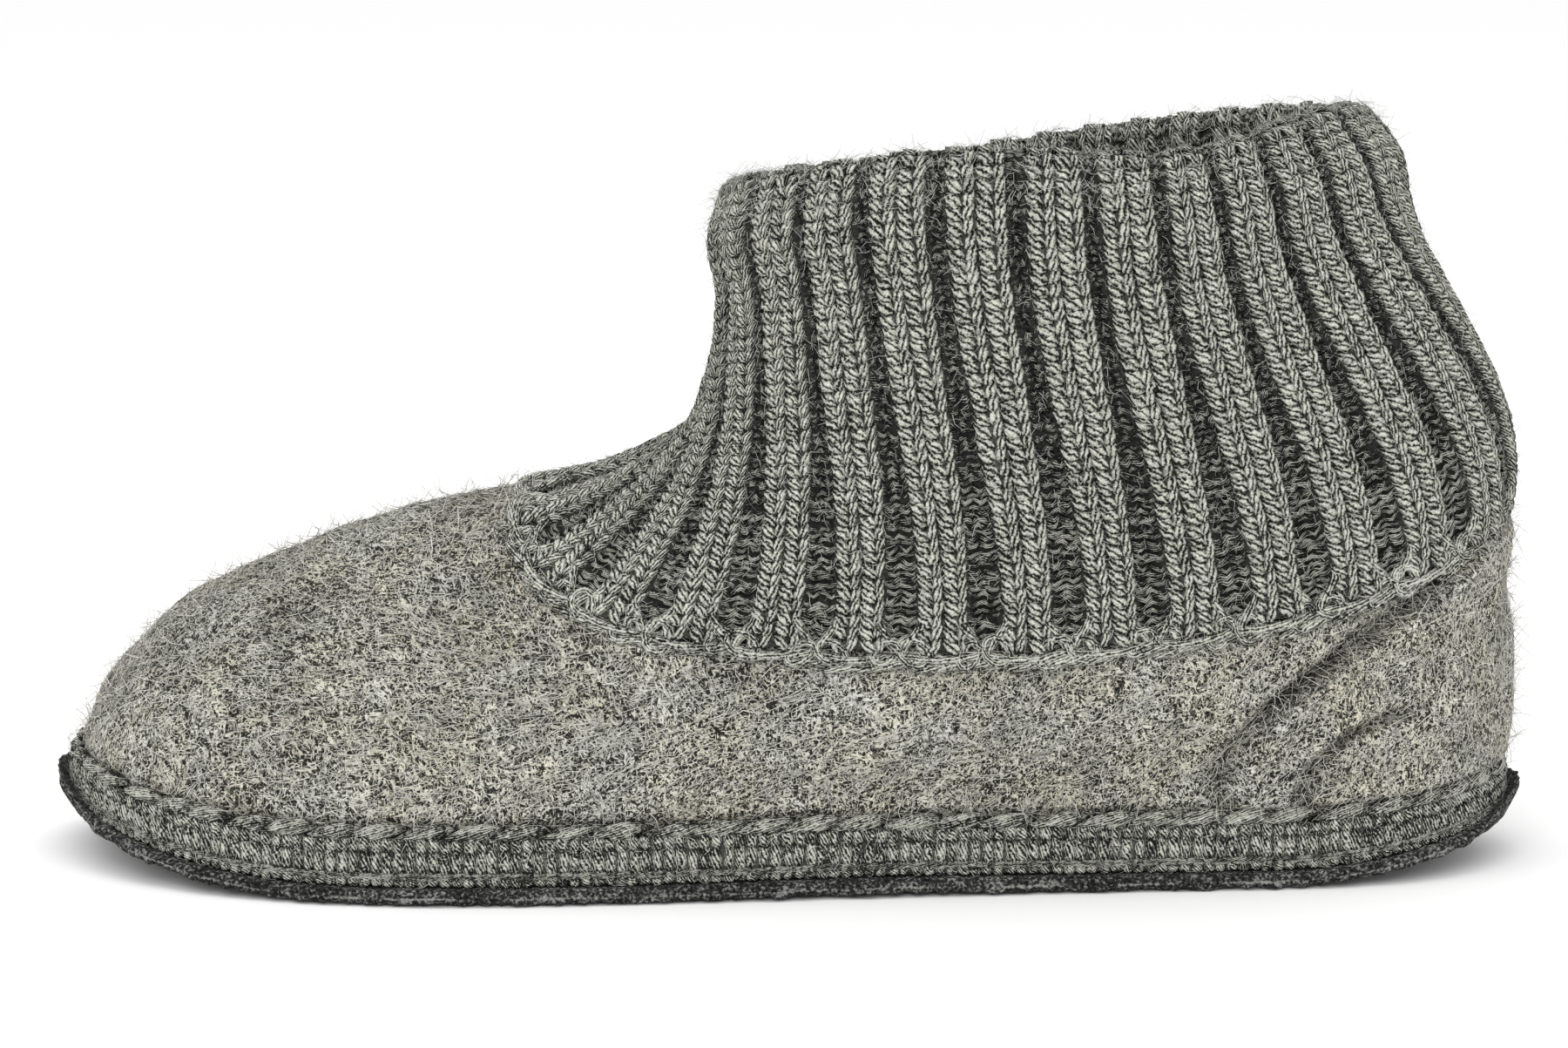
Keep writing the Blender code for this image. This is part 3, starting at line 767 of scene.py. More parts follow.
# %% Places on the cloth
def on_cloth(row, rib):
    """Where a row of stitches and a rib lie in the cloth's tables."""
    return (row + HEM_ROWS) * ROW_PARTS / (len(cloth) - 1), rib / RIB_COUNT


def knit_point(row, rib, height):
    """The cloth's point raised by height along its outward normal, and that normal."""
    here = on_cloth(row, rib)
    up = unit(sample(cloth_out, *here))
    return sample(cloth, *here) + np.asarray(height)[..., None] * up, up


def rib_share(row):
    """Share of the pitch that a rib fills: it grows from hem to rim, and falls again inside."""
    outer = np.clip(np.minimum(row, ALL_ROWS - row) / OUTER_ROWS, 0, 1)
    return RIB_SHARE_AT_HEM + (RIB_SHARE_AT_RIM - RIB_SHARE_AT_HEM) * np.minimum(1, 1.6 * outer)


def shallow(row):
    """How far the troughs fill up: nothing on the outside, all on the roll of the rim and inside."""
    return smooth((row - OUTER_ROWS + 1.5) / 3.0)


# %% [markdown]
# Yarn is several plies twisted together, so a stitch shows slanted strokes along it and fine fuzz. The
# strokes follow the map of each strand, along and around. Because every stitch is twisted the same way,
# the strokes lie flat on legs that lean left and steep on legs that lean right, which is why the two look
# so different on real knitting. The yarn of the edge is looser, so it also gets curls: the sine of a soft
# noise draws nested curly lines.

# %% Yarn finish
PLY_SHARE, YARN_FUZZ_SHARE, YARN_OFFSET, YARN_BUMP = 0.62, 1.25, -0.545, 0.0005
YARN_TONE, YARN_TONE_OFFSET = 0.6, -0.3
YARN_STOPS = (
    (0.23, (0.005, 0.0052, 0.0042)), (0.38, (0.085, 0.087, 0.073)),
    (0.57, (0.36, 0.365, 0.315)), (0.84, (0.66, 0.665, 0.583)),
)
CURL_TURN, CURL_SHIFT, CURL_BEATS = (0.4, 0.9, 1.3), (0.2, 0.6, 0.4), 20


def curls(tree, place):
    """Nested curly lines: the sine of beats times a noise, in coordinates turned away from the object's."""
    turned = {"Vector": place, "Rotation": CURL_TURN, "Location": CURL_SHIFT}
    moved = node(tree, "ShaderNodeMapping", turned).outputs[0]
    soft = cloud(tree, moved, 560, detail=1.2, distortion=0.7)
    return maths(tree, "SINE", maths(tree, "MULTIPLY", soft, CURL_BEATS))


def yarn_finish(name, plies, twist, shade, curly=0.0):
    """Plies from the size of a sine of around and along, parted by dark lines of painted shade; fuzz, curls
    and the tone, with its painted shade and light, added.
    """
    made, tree, shader, place = wool_shader(name, roughness=0.9, sheen=0.03)
    strand_map = node(tree, "ShaderNodeUVMap", uv_map="yarn").outputs[0]
    uv = node(tree, "ShaderNodeSeparateXYZ", {0: strand_map})
    wander = maths(tree, "MULTIPLY", cloud(tree, place, 700, detail=2.0), 4.0)
    around = maths(tree, "MULTIPLY_ADD", uv.outputs["Y"], plies * np.pi, wander)
    spiral = maths(tree, "MULTIPLY_ADD", uv.outputs["X"], twist * np.pi, around)
    ply = maths(tree, "ABSOLUTE", maths(tree, "SINE", spiral))
    mix = maths(tree, "MULTIPLY_ADD", cloud(tree, place, 2400, detail=2.0), YARN_FUZZ_SHARE, YARN_OFFSET)
    mix = maths(tree, "MULTIPLY_ADD", ply, PLY_SHARE, mix)
    if curly:
        mix = maths(tree, "MULTIPLY_ADD", curls(tree, place), curly, mix)
    tone = maths(tree, "MULTIPLY_ADD", tone_of(tree), YARN_TONE, YARN_TONE_OFFSET)
    put_colour(tree, shader, ramp(tree, maths(tree, "ADD", mix, tone), YARN_STOPS, shade))
    put_bump(tree, shader, mix, YARN_BUMP)
    return made


yarn = yarn_finish("grey_yarn", plies=7, twist=3.8, shade=1.0)
# A copy of the yarn with painted shade, three quarters as bright, for the strands in the troughs.
shaded_trough_yarn = yarn_finish("grey_yarn_painted_shade_in_troughs", plies=6, twist=4.0, shade=0.75)
edge_yarn = yarn_finish("edge_yarn", plies=8, twist=2.5, shade=0.95, curly=0.22)

# %% [markdown]
# Under the stitches lies a ground that closes the cloth, raised under the ribs and sunk in the troughs.
# It is dark, because little light reaches between the yarns. It also gives the cuff its thickness when
# you look in from above.

# %% Finish of the ground
GROUND_FUZZ_SHARE, GROUND_TONE_SHARE, GROUND_BUMP = 0.7, 0.28, 0.0005
GROUND_STOPS = (
    (0.21, (0.006, 0.006, 0.005)), (0.52, (0.030, 0.031, 0.027)),
    (0.70, (0.11, 0.112, 0.098)), (0.90, (0.24, 0.244, 0.214)),
)


def ground_finish(name, brightness):
    """Dark wool, painted as the shade between yarns, with a fine fuzz, lighter where its tone is high."""
    made, tree, shader, place = wool_shader(name, roughness=0.95, sheen=0.0)
    fuzz = cloud(tree, place, 1500, detail=3.0)
    shown = maths(tree, "MULTIPLY", fuzz, GROUND_FUZZ_SHARE)
    shown = maths(tree, "MULTIPLY_ADD", tone_of(tree), GROUND_TONE_SHARE, shown)
    put_colour(tree, shader, ramp(tree, shown, GROUND_STOPS, brightness))
    put_bump(tree, shader, fuzz, GROUND_BUMP)
    return made


# %% Ground of the cuff
GROUND_RIB_COLUMNS = 8
GROUND_COLUMNS = RIB_COUNT * GROUND_RIB_COLUMNS
RIB_LEVEL, RIB_SLOPE, TROUGH_LEVEL, TROUGH_FILL = 0.7, 0.16, -0.75, 1.3
# Tones of the ground: painted shade, lifted where the troughs fill up and below the last stitches inside.
INNER_TONE, BARE_ROWS, BARE_FADE, BARE_TONE = 0.8, 16, 5.0, 1.1
ground_ribs = np.arange(GROUND_COLUMNS) / GROUND_RIB_COLUMNS
row, rib = np.meshgrid(np.arange(ALL_ROWS + 1.0), ground_ribs, indexing="ij")
edge = 0.5 * rib_share(row) - np.abs(rib % 1 - 0.5)
under_rib = smooth(0.5 + edge / RIB_SLOPE)
trough = TROUGH_LEVEL + TROUGH_FILL * shallow(row)
ground, _ = knit_point(row, rib, trough + (RIB_LEVEL - trough) * under_rib)
# Painted shade: the ground is darkest in the deep troughs outside, and lighter under the ribs and where the
# troughs fill up. Below the last stitches inside it is lighter still, in the colour of the ribs it stands
# for.
bare = smooth((row - ALL_ROWS + BARE_ROWS) / BARE_FADE)
ground_shade_and_tone = np.maximum(under_rib, INNER_TONE * shallow(row)) + BARE_TONE * under_rib * bare
ground_faces = grid_quads(ALL_ROWS + 1, GROUND_COLUMNS, close_rows=True)
knit_ground = ground_finish("knit_ground", brightness=1.0)
add_piece(
    "cuff_ground", ground.reshape(-1, 3), [ground_faces], knit_ground, "cuff", ("cuff",),
    tone=ground_shade_and_tone.ravel(),
)

# %% [markdown]
# A knit stitch is a V of two plump legs, and each V sits in the one below. A rib is two columns of them,
# so four legs side by side. One leg is a short strand, fat in the middle and tucked in at both ends. We
# give every leg the same few rings and let arrays place all of them at once, with a little chance so that
# no two stitches match.

# %% Legs of the ribs
Leg = namedtuple("Leg", "place lean width height twist")
LEGS = (
    Leg(-0.36, -1.9, 1.50, 0.45, 0.5), Leg(-0.10, 1.1, 1.12, 0.75, -0.05),
    Leg(0.14, -1.9, 1.50, 0.95, 0.5), Leg(0.40, 1.1, 1.12, 0.35, -0.05),
)
# The tone of a leg's rings is painted shade: darker towards both ends, where the leg tucks under the next
# stitch.
LegRing = namedtuple("LegRing", "along body arch tone")
LEG_RINGS = (
    LegRing(0, 0.40, 0.10, 0.0), LegRing(0.17, 0.88, 0.46, 0.52), LegRing(0.45, 1.0, 0.42, 0.64),
    LegRing(0.72, 0.86, -0.06, 0.40), LegRing(1, 0.50, -0.75, -0.2),
)
LEG_SPAN, LEG_HALF_HEIGHT, LEG_STAGGER, LEG_SPLAY = 1.55, 0.86, 0.12, 0.35
FULL_RIB, THINNEST_LEG, FATTEST_LEG = 9.0, 0.42, 1.15


def combined(*ranges):
    """Every combination of the values in the ranges, as one flat array for each range."""
    return [table.ravel() for table in np.meshgrid(*ranges, indexing="ij")]


def rib_legs(rows, sides):
    """Legs in cloth coordinates: row + span times length, rib + place + lean times length over pitch."""
    row, rib, leg = combined(rows, np.arange(RIB_COUNT), np.arange(len(LEGS)))
    at, lean, width, height, twist = np.array(LEGS)[leg].T[..., None]
    along, body, arch, tone = np.array(LEG_RINGS).T
    each = (len(row), 1)
    row = row + LEG_STAGGER * (leg % 2) + chance.normal(0, 0.07, len(row))
    level = row[:, None] + 0.5 + LEG_SPAN * (along - 0.5)
    pitch = sample(rib_pitch, *on_cloth(row + 0.5, rib + 0.5))
    share = rib_share(row)[:, None]
    splay = 1 + LEG_SPLAY * np.exp(-np.clip(level, 0, None))
    slant = lean * (along - 0.5) + chance.normal(0, 0.12, each)
    place = rib[:, None] + 0.5 + at * share * splay + slant / pitch
    paths, up = knit_point(level, place, height + arch + chance.normal(0, 0.06, each))
    size = np.clip(share * pitch / FULL_RIB, THINNEST_LEG, FATTEST_LEG)
    wide = width * body * size * chance.normal(1, 0.06, each)
    tones = tone + chance.normal(0, 0.08, each)
    return strand_rings(paths, up, wide, LEG_HALF_HEIGHT * body + 0 * wide, sides), tones, twist[:, 0]


# %% Stitches of the cuff
STITCHED_INNER_ROWS = 24
rings, tone, twist = rib_legs(np.arange(0.0, OUTER_ROWS), sides=4)
near = rings[:, 2, 0, 1] < 0
far = ~near
add_strands("cuff_stitches_outer_side", rings[near], yarn, "cuff", tone[near], twist=twist[near])
add_strands("cuff_stitches_inner_side", rings[far], yarn, "cuff", tone[far], twist=twist[far])
inside_rows = np.arange(float(OUTER_ROWS), OUTER_ROWS + FOLD_ROWS + STITCHED_INNER_ROWS)
rings, tone, twist = rib_legs(inside_rows, sides=3)
add_strands("cuff_stitches_inside", rings, yarn, "cuff", tone, twist=twist)

# %% [markdown]
# In a trough we see the back of the stitches: wavy strands that lie across, two to a row, in shadow between
# the ribs. A strand is a cosine across the trough. By chance either its crests or its dips stand proud and
# catch the light, as loops do that pass over and under each other. Their tone paints that highlight on the
# proud parts, and paints shade that deepens up the cuff and lifts on the roll of the rim.

# %% Purl strands of the troughs
PURL_STEPS, PURL_SIDES, PURL_INNER_ROWS = 7, 3, 9
PURL_LEVEL, PURL_BOWL, PURL_REACH, PURL_THICKNESS, PURL_FLAT = -0.45, 0.9, 1.12, 0.40, 1.15
# Tones of the purl strands: painted shade that deepens up the cuff, painted light on the rim and on proud
# crests.
PURL_LIGHT, PURL_DARKENING, DARK_BY_ROW, RIM_LIGHT, CREST_LIGHT = 0.62, 0.52, 22, 0.45, 2.4
PURL_DARKEST, PURL_LIGHTEST = -0.2, 1.3


def purl_strands(rows):
    """Strands across each trough: two waves of a cosine along the rows, sunk in the middle, and proud at
    the crests or at the dips. Also gives how proud each ring is, as a tone that paints a highlight on the
    proud parts."""
    row, rib = combined(rows, np.arange(RIB_COUNT))
    each = (len(row), 1)
    q = np.linspace(-0.5, 0.5, PURL_STEPS)
    flip = chance.choice((-1, 1), each)
    wave = chance.normal(0.20, 0.06, each) * np.cos(4 * np.pi * q + chance.normal(0, 0.6, each))
    tilt = chance.normal(0, 0.35, each) * q
    level = row[:, None] + 0.25 + wave + tilt + chance.normal(0, 0.09, each)
    place = rib[:, None] + PURL_REACH * (1 - rib_share(row)[:, None]) * q
    height = PURL_LEVEL + TROUGH_FILL * shallow(row)[:, None] + PURL_BOWL * q**2 + flip * wave
    paths, up = knit_point(level, place, height + chance.normal(0, 0.10, each))
    thick = PURL_THICKNESS * chance.normal(1, 0.15, each) + 0 * q
    return strand_rings(paths, up, PURL_FLAT * thick, thick, PURL_SIDES), CREST_LIGHT * flip * wave


purl_rows = np.arange(0, OUTER_ROWS + FOLD_ROWS + PURL_INNER_ROWS, 0.5)
rings, crest_highlight = purl_strands(purl_rows)
# Painted shade and light: strands are darker higher up the cuff, where the troughs narrow, lighter on the
# roll of the rim and inside, and get a painted highlight where they stand proud.
row_shade_and_light = PURL_LIGHT - PURL_DARKENING * smooth(purl_rows / DARK_BY_ROW) + RIM_LIGHT * shallow(purl_rows)
strand_tone = np.repeat(row_shade_and_light, RIB_COUNT) + chance.normal(0, 0.18, len(rings))
purl_tone = np.clip(strand_tone[:, None] + crest_highlight, PURL_DARKEST, PURL_LIGHTEST)
add_strands("cuff_purl_strands", rings, shaded_trough_yarn, "cuff", purl_tone)

# %% [markdown]
# Along the hem the outer legs of each rib swing out and meet their neighbours under the trough, like
# little arches. At both sides of a rib's foot a loop stands open like an eye, and a bow runs below from
# trough to trough. Under them a cast-on yarn lies on the felt in slanted turns. All of these are strands
# in cloth coordinates again.

# %% Hem arches and bows
HEM_STEPS, HEM_SIDES, HEM_FLAT = 13, 6, 0.9
ARCH_START, ARCH_END, ARCH_TOP, ARCH_DROP = 0.40, 0.47, 2.3, 2.9
ARCH_LIFT, ARCH_THICKNESS, ARCH_FLAT = 0.75, 0.95, 0.85
BOW_LEVEL, BOW_SAG, BOW_LIFT, BOW_THICKNESS = -0.25, 0.45, 0.55, 0.75


def rib_sides():
    """Columns of rib numbers and of the sides -1 and 1, for strands that come in pairs."""
    rib, side = combined(np.arange(RIB_COUNT), (-1, 1))
    return rib[:, None], side[:, None]


def hem_arches():
    """A strand swings from the edge of a rib down and out to mid trough, as a quarter of a sine."""
    rib, side = rib_sides()
    q = np.linspace(0, 1, HEM_STEPS)
    swing = np.sin(0.5 * np.pi * q) ** 1.5
    edge = ARCH_START * RIB_SHARE_AT_HEM
    place = rib + 0.5 + side * (edge + (ARCH_END - edge) * swing) + chance.normal(0, 0.012, rib.shape)
    level = ARCH_TOP - ARCH_DROP * q + chance.normal(0, 0.1, rib.shape)
    paths, up = knit_point(level, place, ARCH_LIFT - 0.25 * q + 0 * level)
    thick = (ARCH_THICKNESS - 0.15 * q) * chance.normal(1, 0.06, rib.shape)
    return strand_rings(paths, up, thick, ARCH_FLAT * thick, HEM_SIDES)


def hem_bows():
    """One bow under each rib, from trough to trough, sagging as a sine."""
    rib = np.arange(RIB_COUNT)[:, None]
    q = np.linspace(-0.06, 1.06, HEM_STEPS)
    sag = np.sin(np.pi * np.clip(q, 0, 1))
    level = BOW_LEVEL - (BOW_SAG + chance.normal(0, 0.08, rib.shape)) * sag
    paths, up = knit_point(level, rib + q + 0 * level, BOW_LIFT + 0.25 * sag + 0 * level)
    thick = (BOW_THICKNESS + 0.15 * sag) * chance.normal(1, 0.07, rib.shape)
    return strand_rings(paths, up, thick, HEM_FLAT * thick, HEM_SIDES)


# %% Hem eyes and turns
EYE_PLACE, EYE_WIDTH, EYE_HEIGHT, EYE_LEVEL, EYE_TILT = 0.33, 0.165, 0.95, -0.15, 2.0
EYE_LIFT, EYE_THICKNESS = 0.75, 0.78


def hem_eyes():
    """A loop at each side of a rib's foot: a tilted ellipse of a cosine across and a sine along."""
    rib, side = rib_sides()
    angle = np.linspace(0, 2 * np.pi, HEM_STEPS) + chance.normal(0, 0.5, rib.shape)
    across = EYE_WIDTH * chance.normal(1, 0.15, rib.shape) * np.cos(angle)
    along = EYE_HEIGHT * chance.normal(1, 0.20, rib.shape) * np.sin(angle)
    level = along + EYE_LEVEL + chance.normal(0, 0.15, rib.shape) + side * EYE_TILT * across
    place = rib + 0.5 + side * EYE_PLACE + across + chance.normal(0, 0.02, rib.shape)
    paths, up = knit_point(level, place, EYE_LIFT + 0.25 * np.sin(2 * angle) + 0 * level)
    thick = EYE_THICKNESS * chance.normal(1, 0.08, rib.shape) + 0 * level
    return strand_rings(paths, up, thick, HEM_FLAT * thick, HEM_SIDES)


def hem_turns(count, middle, rise, lift, thickness):
    """Slanted turns of yarn along the hem: each climbs by rise round the middle and overlaps the next."""
    turn = np.arange(count)[:, None]
    q = np.linspace(-0.85, 0.85, HEM_STEPS)
    body = np.sqrt(1 - 0.8 * q**2)
    place = (turn + q + chance.normal(0, 0.12, turn.shape)) * RIB_COUNT / count
    level = middle + rise * q + chance.normal(0, 0.20, turn.shape)
    paths, up = knit_point(level, place, lift + 0.35 * body + chance.normal(0, 0.08, turn.shape))
    thick = thickness * body * chance.normal(1, 0.10, turn.shape)
    return strand_rings(paths, up, thick, HEM_FLAT * thick, HEM_SIDES)


# %% Hem loops
HEM_TONE = 0.12


def shaded_stitch_tones(count, steps):
    """A tone for each ring of each strand: painted shade, darker at both ends where strands tuck under one
    another, and a random tone for each strand.
    """
    swell = np.sin(np.pi * np.linspace(0, 1, steps))
    return 0.28 + 0.32 * swell + chance.normal(0, 0.12, (count, 1))


hem_strands = [hem_arches(), hem_bows(), hem_eyes()]
hem_strands.append(hem_turns(count=84, middle=-0.95, rise=0.40, lift=0.30, thickness=0.80))
rings = np.concatenate(hem_strands)
add_strands("cuff_hem_loops", rings, edge_yarn, "cuff", shaded_stitch_tones(len(rings), HEM_STEPS) + HEM_TONE)

# %% [markdown]
# The knit has its own fuzz, shorter and finer than that of the felt. It softens the rim and the outline
# of the ribs.

# %% Knit fuzz
KNIT_HAIRS, RIM_HAIRS, FUZZ_THICKNESS = 7500, 2200, (0.035, 0.06)
FUZZ_PARTS = 200
knit_hair = hair_finish("knit_hair", (0.62, 0.625, 0.565))
from_rib = np.abs(np.arange(CLOTH_COLUMNS) / RIB_COLUMNS % 1 - 0.5)
rib_height = 0.6 + 1.1 * smooth(0.5 + (0.36 - from_rib) / 0.2)
ribbed = cloth + rib_height[None, :, None] * cloth_out
lift = hair_lift(KNIT_HAIRS, low=0.8, high=1.8, share_high=0.5)
walk = hairs(
    ribbed[:FUZZ_PARTS], cloth_out[:FUZZ_PARTS], KNIT_HAIRS, length=(1.0, 3.6), curl=0.7, lift=lift
)
on_rim = slice((OUTER_ROWS - 1) * ROW_PARTS, (OUTER_ROWS + FOLD_ROWS + 4) * ROW_PARTS)
lift = hair_lift(RIM_HAIRS, low=1.0, high=3.0, share_high=0.5)
rim_walk = hairs(ribbed[on_rim], cloth_out[on_rim], RIM_HAIRS, length=(1.5, 4.0), curl=0.5, lift=lift)
walk = [np.concatenate(pair) for pair in zip(walk, rim_walk)]
add_hairs("cuff_fuzz", walk, FUZZ_THICKNESS, knit_hair, "cuff")

# %% [markdown]
# The edge of the sole is bound with the same grey yarn: a thin cord at the bottom, then two rows of
# upright stitches with a fine groove between them, and a chain of slanted links on top that lies against
# the felt. We make a dark band first and set the stitches on it one beside the other.

# %% Places round the edge
EDGE_COLUMNS = 360
CORD_TOP = foot + CORD_ROW_HEIGHT
STITCH_TOP = CORD_TOP + STITCH_ROW_HEIGHT
GROOVE = STITCH_TOP - 1.9
BandRing = namedtuple("BandRing", "inset height")
BAND_RINGS = (
    BandRing(3.2, foot), BandRing(2.9, foot + 0.6), BandRing(2.9, CORD_TOP - 0.3),
    BandRing(3.1, CORD_TOP), BandRing(2.9, CORD_TOP + 0.5), BandRing(2.9, GROOVE - 0.3),
    BandRing(3.2, GROOVE), BandRing(3.0, GROOVE + 0.4), BandRing(3.2, STITCH_TOP - 0.2),
    BandRing(BINDING_DEPTH, STITCH_TOP), BandRing(BINDING_DEPTH, foot),
)


def on_edge(share, inset, height):
    """A point round the edge by share of its length, inset and height, and the way out from it."""
    share, inset, height = np.broadcast_arrays(share, inset, height)
    parameter = even_parameters(SOLE_EDGE, share)
    return edge_ring(parameter, inset, height), outward(parameter)


edge_shares = np.arange(EDGE_COLUMNS) / EDGE_COLUMNS
band_insets, band_heights = np.array(BAND_RINGS).T[..., None]
band, _ = on_edge(edge_shares[None, :], band_insets, band_heights)
band_faces = grid_quads(len(BAND_RINGS), EDGE_COLUMNS, close_rows=True)
# The band is the dark ground, painted as the shade between the stitches, four times as bright.
edge_ground = ground_finish("edge_ground", brightness=4.0)
add_piece("binding_ground", band.reshape(-1, 3), [band_faces], edge_ground, "binding", ("binding",))

# %% Upright stitches and cord
EDGE_STITCHES, STITCH_SIDES, CORD_SIDES = 296, 6, 4
STITCH_BODY = np.array([0.80, 1.0, 1.0, 1.0, 0.80])
EDGE_STEPS = len(STITCH_BODY)


def upright_stitches(low, high, width, depth):
    """Short plump strands side by side, from low to high, round at both ends and leaning by chance."""
    stitch = np.arange(EDGE_STITCHES)[:, None]
    q = np.linspace(0, 1, EDGE_STEPS)
    lean = chance.normal(0, 0.14, stitch.shape) * (q - 0.5) + chance.normal(0, 0.05, stitch.shape)
    height = low + (high - low) * q + chance.normal(0, 0.10, stitch.shape)
    inset = BINDING_OUTSIDE + depth + 0.35 * (1 - STITCH_BODY) + chance.normal(0, 0.08, stitch.shape)
    paths, up = on_edge((stitch + lean) / EDGE_STITCHES, inset, height)
    wide = width * STITCH_BODY * chance.normal(1, 0.07, stitch.shape)
    return strand_rings(paths, up, wide, depth * STITCH_BODY + 0 * wide, STITCH_SIDES)


def slanted_cord(low, high, thick, overlap):
    """A twisted cord as short strands, each rising from low to high over more than its own pitch."""
    stitch = np.arange(EDGE_STITCHES)[:, None]
    q = np.linspace(0, 1, EDGE_STEPS)
    height = low + (high - low) * q + chance.normal(0, 0.06, stitch.shape)
    inset = BINDING_OUTSIDE + 0.75 - 0.30 * np.sin(np.pi * q) + chance.normal(0, 0.05, stitch.shape)
    paths, up = on_edge((stitch + overlap * (q - 0.5)) / EDGE_STITCHES, inset, height)
    body = thick * (0.55 + 0.45 * np.sin(np.pi * q)) + 0 * height
    return strand_rings(paths, up, body, body, CORD_SIDES)


# %% Binding
stitch_rows = [
    upright_stitches(low=GROOVE + 0.10, high=STITCH_TOP + 0.4, width=1.10, depth=0.66),
    upright_stitches(low=CORD_TOP - 0.1, high=GROOVE + 0.05, width=1.12, depth=0.80),
    upright_stitches(low=foot, high=foot + 1.25, width=1.05, depth=0.62),
]
rings = np.concatenate(stitch_rows)
add_strands("binding_stitches", rings, edge_yarn, "binding", shaded_stitch_tones(len(rings), EDGE_STEPS))
cord_rows = [
    slanted_cord(low=foot + 1.25, high=foot + 1.50, thick=0.40, overlap=2.4),
    slanted_cord(low=CORD_TOP - 0.45, high=CORD_TOP - 0.15, thick=0.42, overlap=2.4),
]
rings = np.concatenate(cord_rows)
add_strands("binding_cord", rings, edge_yarn, "binding", shaded_stitch_tones(len(rings), EDGE_STEPS))

# %% Braid
LINKS, LINK_STEPS, LINK_SIDES = 72, 8, 6
# The links' tone is the stitches' painted shade at the ends, at a stronger contrast.
LINK_CONTRAST, LINK_OFFSET = 1.7, -0.32
Ply = namedtuple("Ply", "start end low high bow proud thick")
LINK_PLIES = (
    Ply(-0.60, 0.62, -0.85, 0.85, 0.85, 0.95, 0.66), Ply(-0.66, 0.68, -1.00, 0.75, 0.10, 1.35, 0.70),
    Ply(-0.60, 0.70, -1.10, 0.50, -0.65, 1.05, 0.62), Ply(-0.15, 0.62, -1.30, -1.55, 0.0, 0.55, 0.50),
)


def braid_links():
    """Leaf-shaped links: plies leave one point, bow apart and meet higher up, under the next link."""
    link, ply = combined(np.arange(LINKS), np.arange(len(LINK_PLIES)))
    start, end, low, high, bow, proud, thick = np.array(LINK_PLIES)[ply].T[..., None]
    q = np.linspace(0, 1, LINK_STEPS)
    arch = np.sin(np.pi * q)
    one = link[:, None]
    size = chance.normal(1, 0.12, LINKS)[link][:, None]
    share = (one + chance.normal(0, 0.07, LINKS)[link][:, None] + start + (end - start) * q) / LINKS
    height = STITCH_TOP + 0.5 * BRAID_HEIGHT + size * (low + (high - low) * smooth(q) + bow * arch)
    depth = BINDING_DEPTH - 1.5 - proud * arch + chance.normal(0, 0.08, one.shape)
    paths, up = on_edge(share, depth, height + chance.normal(0, 0.06, one.shape))
    body = thick * (0.35 + 0.65 * arch**0.6)
    return strand_rings(paths, up, body, body, LINK_SIDES)


rings = braid_links()
link_tone = LINK_CONTRAST * shaded_stitch_tones(len(rings), LINK_STEPS) + LINK_OFFSET
add_strands("binding_braid_links", rings, edge_yarn, "binding_braid", link_tone, ("binding_braid",))

# %% Edge fuzz
EDGE_HAIRS, EDGE_FUZZ_ROWS = 1400, 9
fuzz_heights = np.linspace(foot, BRAID_TOP, EDGE_FUZZ_ROWS)
edge_face = np.stack([on_edge(edge_shares, BINDING_OUTSIDE, height)[0] for height in fuzz_heights])
lift = hair_lift(EDGE_HAIRS, low=0.5, high=1.4, share_high=0.25)
walk = hairs(edge_face, grid_normals(edge_face), EDGE_HAIRS, length=(1.0, 3.4), curl=0.7, lift=lift)
add_hairs("binding_fuzz", walk, FUZZ_THICKNESS, knit_hair, "binding")

# %% [markdown]
# The sole is a dark felt coated with rubber, cut by hand, so its lower edge is a little ragged. It stands
# out past the binding as a lip. We carry a profile round the edge, roughen it, and close top and bottom
# with strips across the foot.

# %% Profile of the sole
SoleRing = namedtuple("SoleRing", "inset height side foot")
SOLE_RINGS = (
    SoleRing(6, 0.02, 0, 0), SoleRing(2.2, 0.05, 0.1, 0.15), SoleRing(1.0, 0.12, 0.45, 0.55),
    SoleRing(0.45, 0.45, 0.45, 0.55), SoleRing(0.15, 1.1, 0.26, 0.20), SoleRing(0.30, 1.5, 0.18, 0.05),
    SoleRing(0.05, 1.95, 0.2, 0), SoleRing(0.35, 2.5, 0.18, 0), SoleRing(1.0, SOLE_THICKNESS, 0.1, 0),
    SoleRing(4.5, SOLE_THICKNESS, 0, 0),
)


def slab_faces(rings, columns):
    """Faces of stacked rings, closed below and above by strips that join the two sides of the foot."""
    half = columns // 2
    i = np.arange(1, half - 1)
    strips = np.stack([i, i + 1, columns - i - 1, columns - i], -1)
    ends = np.array([(0, 1, columns - 1), (half - 1, half, half + 1)])
    top = (rings - 1) * columns
    quads = [grid_quads(rings, columns), strips[:, ::-1], strips + top]
    return [np.concatenate(quads), np.concatenate([ends[:, ::-1], ends + top])]


def ragged(columns, waves, low, high):
    """A sum of sines that closes round the edge, with whole numbers of waves between low and high."""
    turn = 2 * np.pi * np.arange(columns) / columns
    beats = chance.integers(low, high, waves)[:, None]
    return np.sin(beats * turn + chance.uniform(0, 2 * np.pi, waves)[:, None]).sum(0) / np.sqrt(waves)


# %% Finish of the sole
SPECK_SHARE, SOLE_TONE_SHARE, SOLE_BUMP = 0.35, 0.24, 0.0008
SOLE_STOPS = ((0.51, (0.003, 0.003, 0.003)), (0.69, (0.028, 0.029, 0.027)), (0.92, (0.30, 0.30, 0.28)))


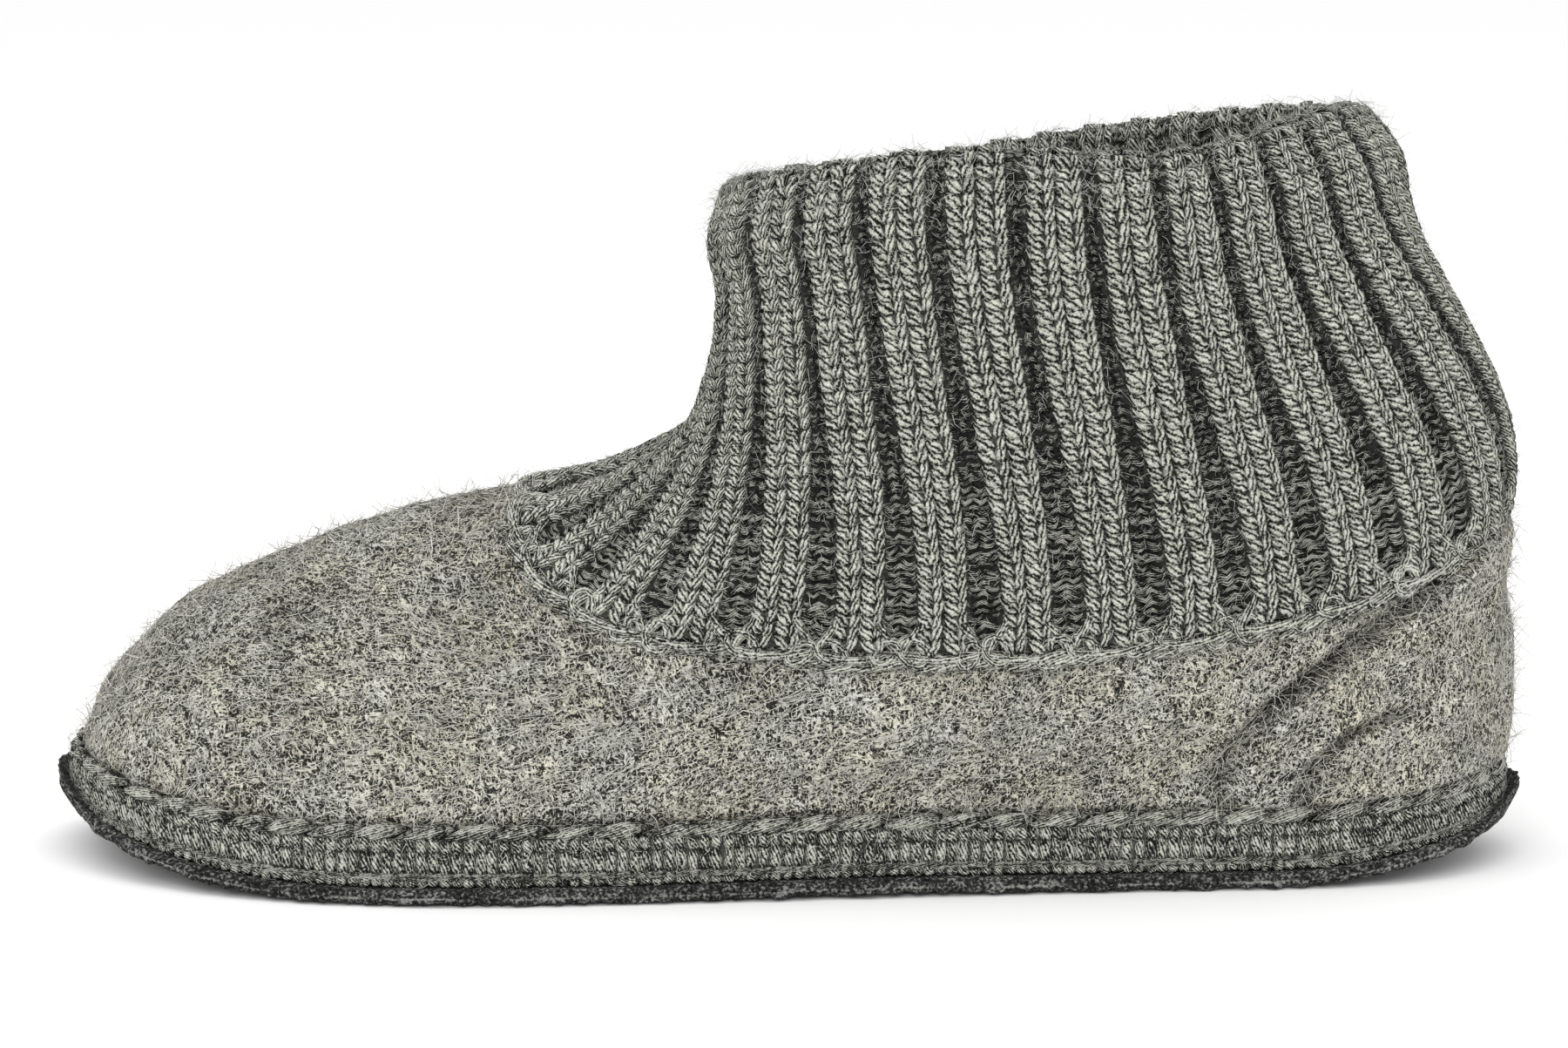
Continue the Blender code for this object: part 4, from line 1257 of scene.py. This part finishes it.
def sole_finish(name):
    """Charcoal with grey specks and a pebbled bump, lighter where its tone is high."""
    made, tree, shader, place = wool_shader(name, roughness=0.8, sheen=0.0)
    pebble = cloud(tree, place, 1700, detail=2.0, distortion=0.5)
    mix = maths(tree, "MULTIPLY_ADD", cloud(tree, place, 260, detail=2.0), SPECK_SHARE, pebble)
    mix = maths(tree, "MULTIPLY_ADD", tone_of(tree), SOLE_TONE_SHARE, mix)
    put_colour(tree, shader, ramp(tree, mix, SOLE_STOPS))
    put_bump(tree, shader, pebble, SOLE_BUMP)
    return made


# %% Outsole
SOLE_COLUMNS, MID_LINE = 720, 5
LIP_CURL, LIP_CURL_START = 4.2, 123.0
turns = even_parameters(SOLE_EDGE, np.arange(SOLE_COLUMNS) / SOLE_COLUMNS)
rough_side = ragged(SOLE_COLUMNS, waves=14, low=25, high=160)
rough_foot = ragged(SOLE_COLUMNS, waves=16, low=30, high=190)
split = ragged(SOLE_COLUMNS, waves=8, low=10, high=60)


def sole_ring(ring):
    """The edge at a ring's inset and height, roughened by its shares of the waves at side and foot."""
    height = ring.height + ring.foot * np.abs(rough_foot) + 0.15 * ring.side * split
    return edge_ring(turns, ring.inset + ring.side * rough_side, height)


sole = np.stack([sole_ring(ring) for ring in SOLE_RINGS])
from_middle = np.abs(SOLE_EDGE(turns)[:, 0])
curl_up = LIP_CURL * smooth((from_middle - LIP_CURL_START) / (HEEL_END - LIP_CURL_START))
on_lip = np.clip(1 - np.array([ring.inset for ring in SOLE_RINGS]) / BINDING_OUTSIDE, 0, 1)
sole[..., 2] += curl_up * on_lip[:, None]
sole_tone = np.zeros(sole.shape[:2])
sole_tone[MID_LINE] = 0.55 + 0.45 * split
sole_faces = slab_faces(len(sole), SOLE_COLUMNS)
coated_sole = sole_finish("coated_sole")
add_piece(
    "coated_outsole", sole.reshape(-1, 3), sole_faces, coated_sole, "outsole", ("outsole",),
    tone=sole_tone.ravel(),
)

# %% [markdown]
# Inside lies a felt insole. Only its middle shows through the collar, so a simple slab with a rounded
# edge will do.

# %% Insole
INSOLE_COLUMNS = 240
InsoleRing = namedtuple("InsoleRing", "depth height")
INSOLE_RINGS = (
    InsoleRing(0, 0), InsoleRing(0, 4.6), InsoleRing(0.5, 5.6), InsoleRing(1.6, INSOLE_THICKNESS),
    InsoleRing(5, 5.9),
)
turns = even_parameters(SOLE_EDGE, np.arange(INSOLE_COLUMNS) / INSOLE_COLUMNS)
inset = WOOL_INSET + FELT_THICKNESS + GAP
slab = np.stack([edge_ring(turns, inset + ring.depth, foot + ring.height) for ring in INSOLE_RINGS])
insole_faces = slab_faces(len(slab), INSOLE_COLUMNS)
insole_felt = felt_finish("insole_felt", brightness=0.75)
insole_tone = np.ones(slab[..., 0].size)
add_piece(
    "felt_insole", slab.reshape(-1, 3), insole_faces, insole_felt, "insole", ("insole",), tone=insole_tone
)
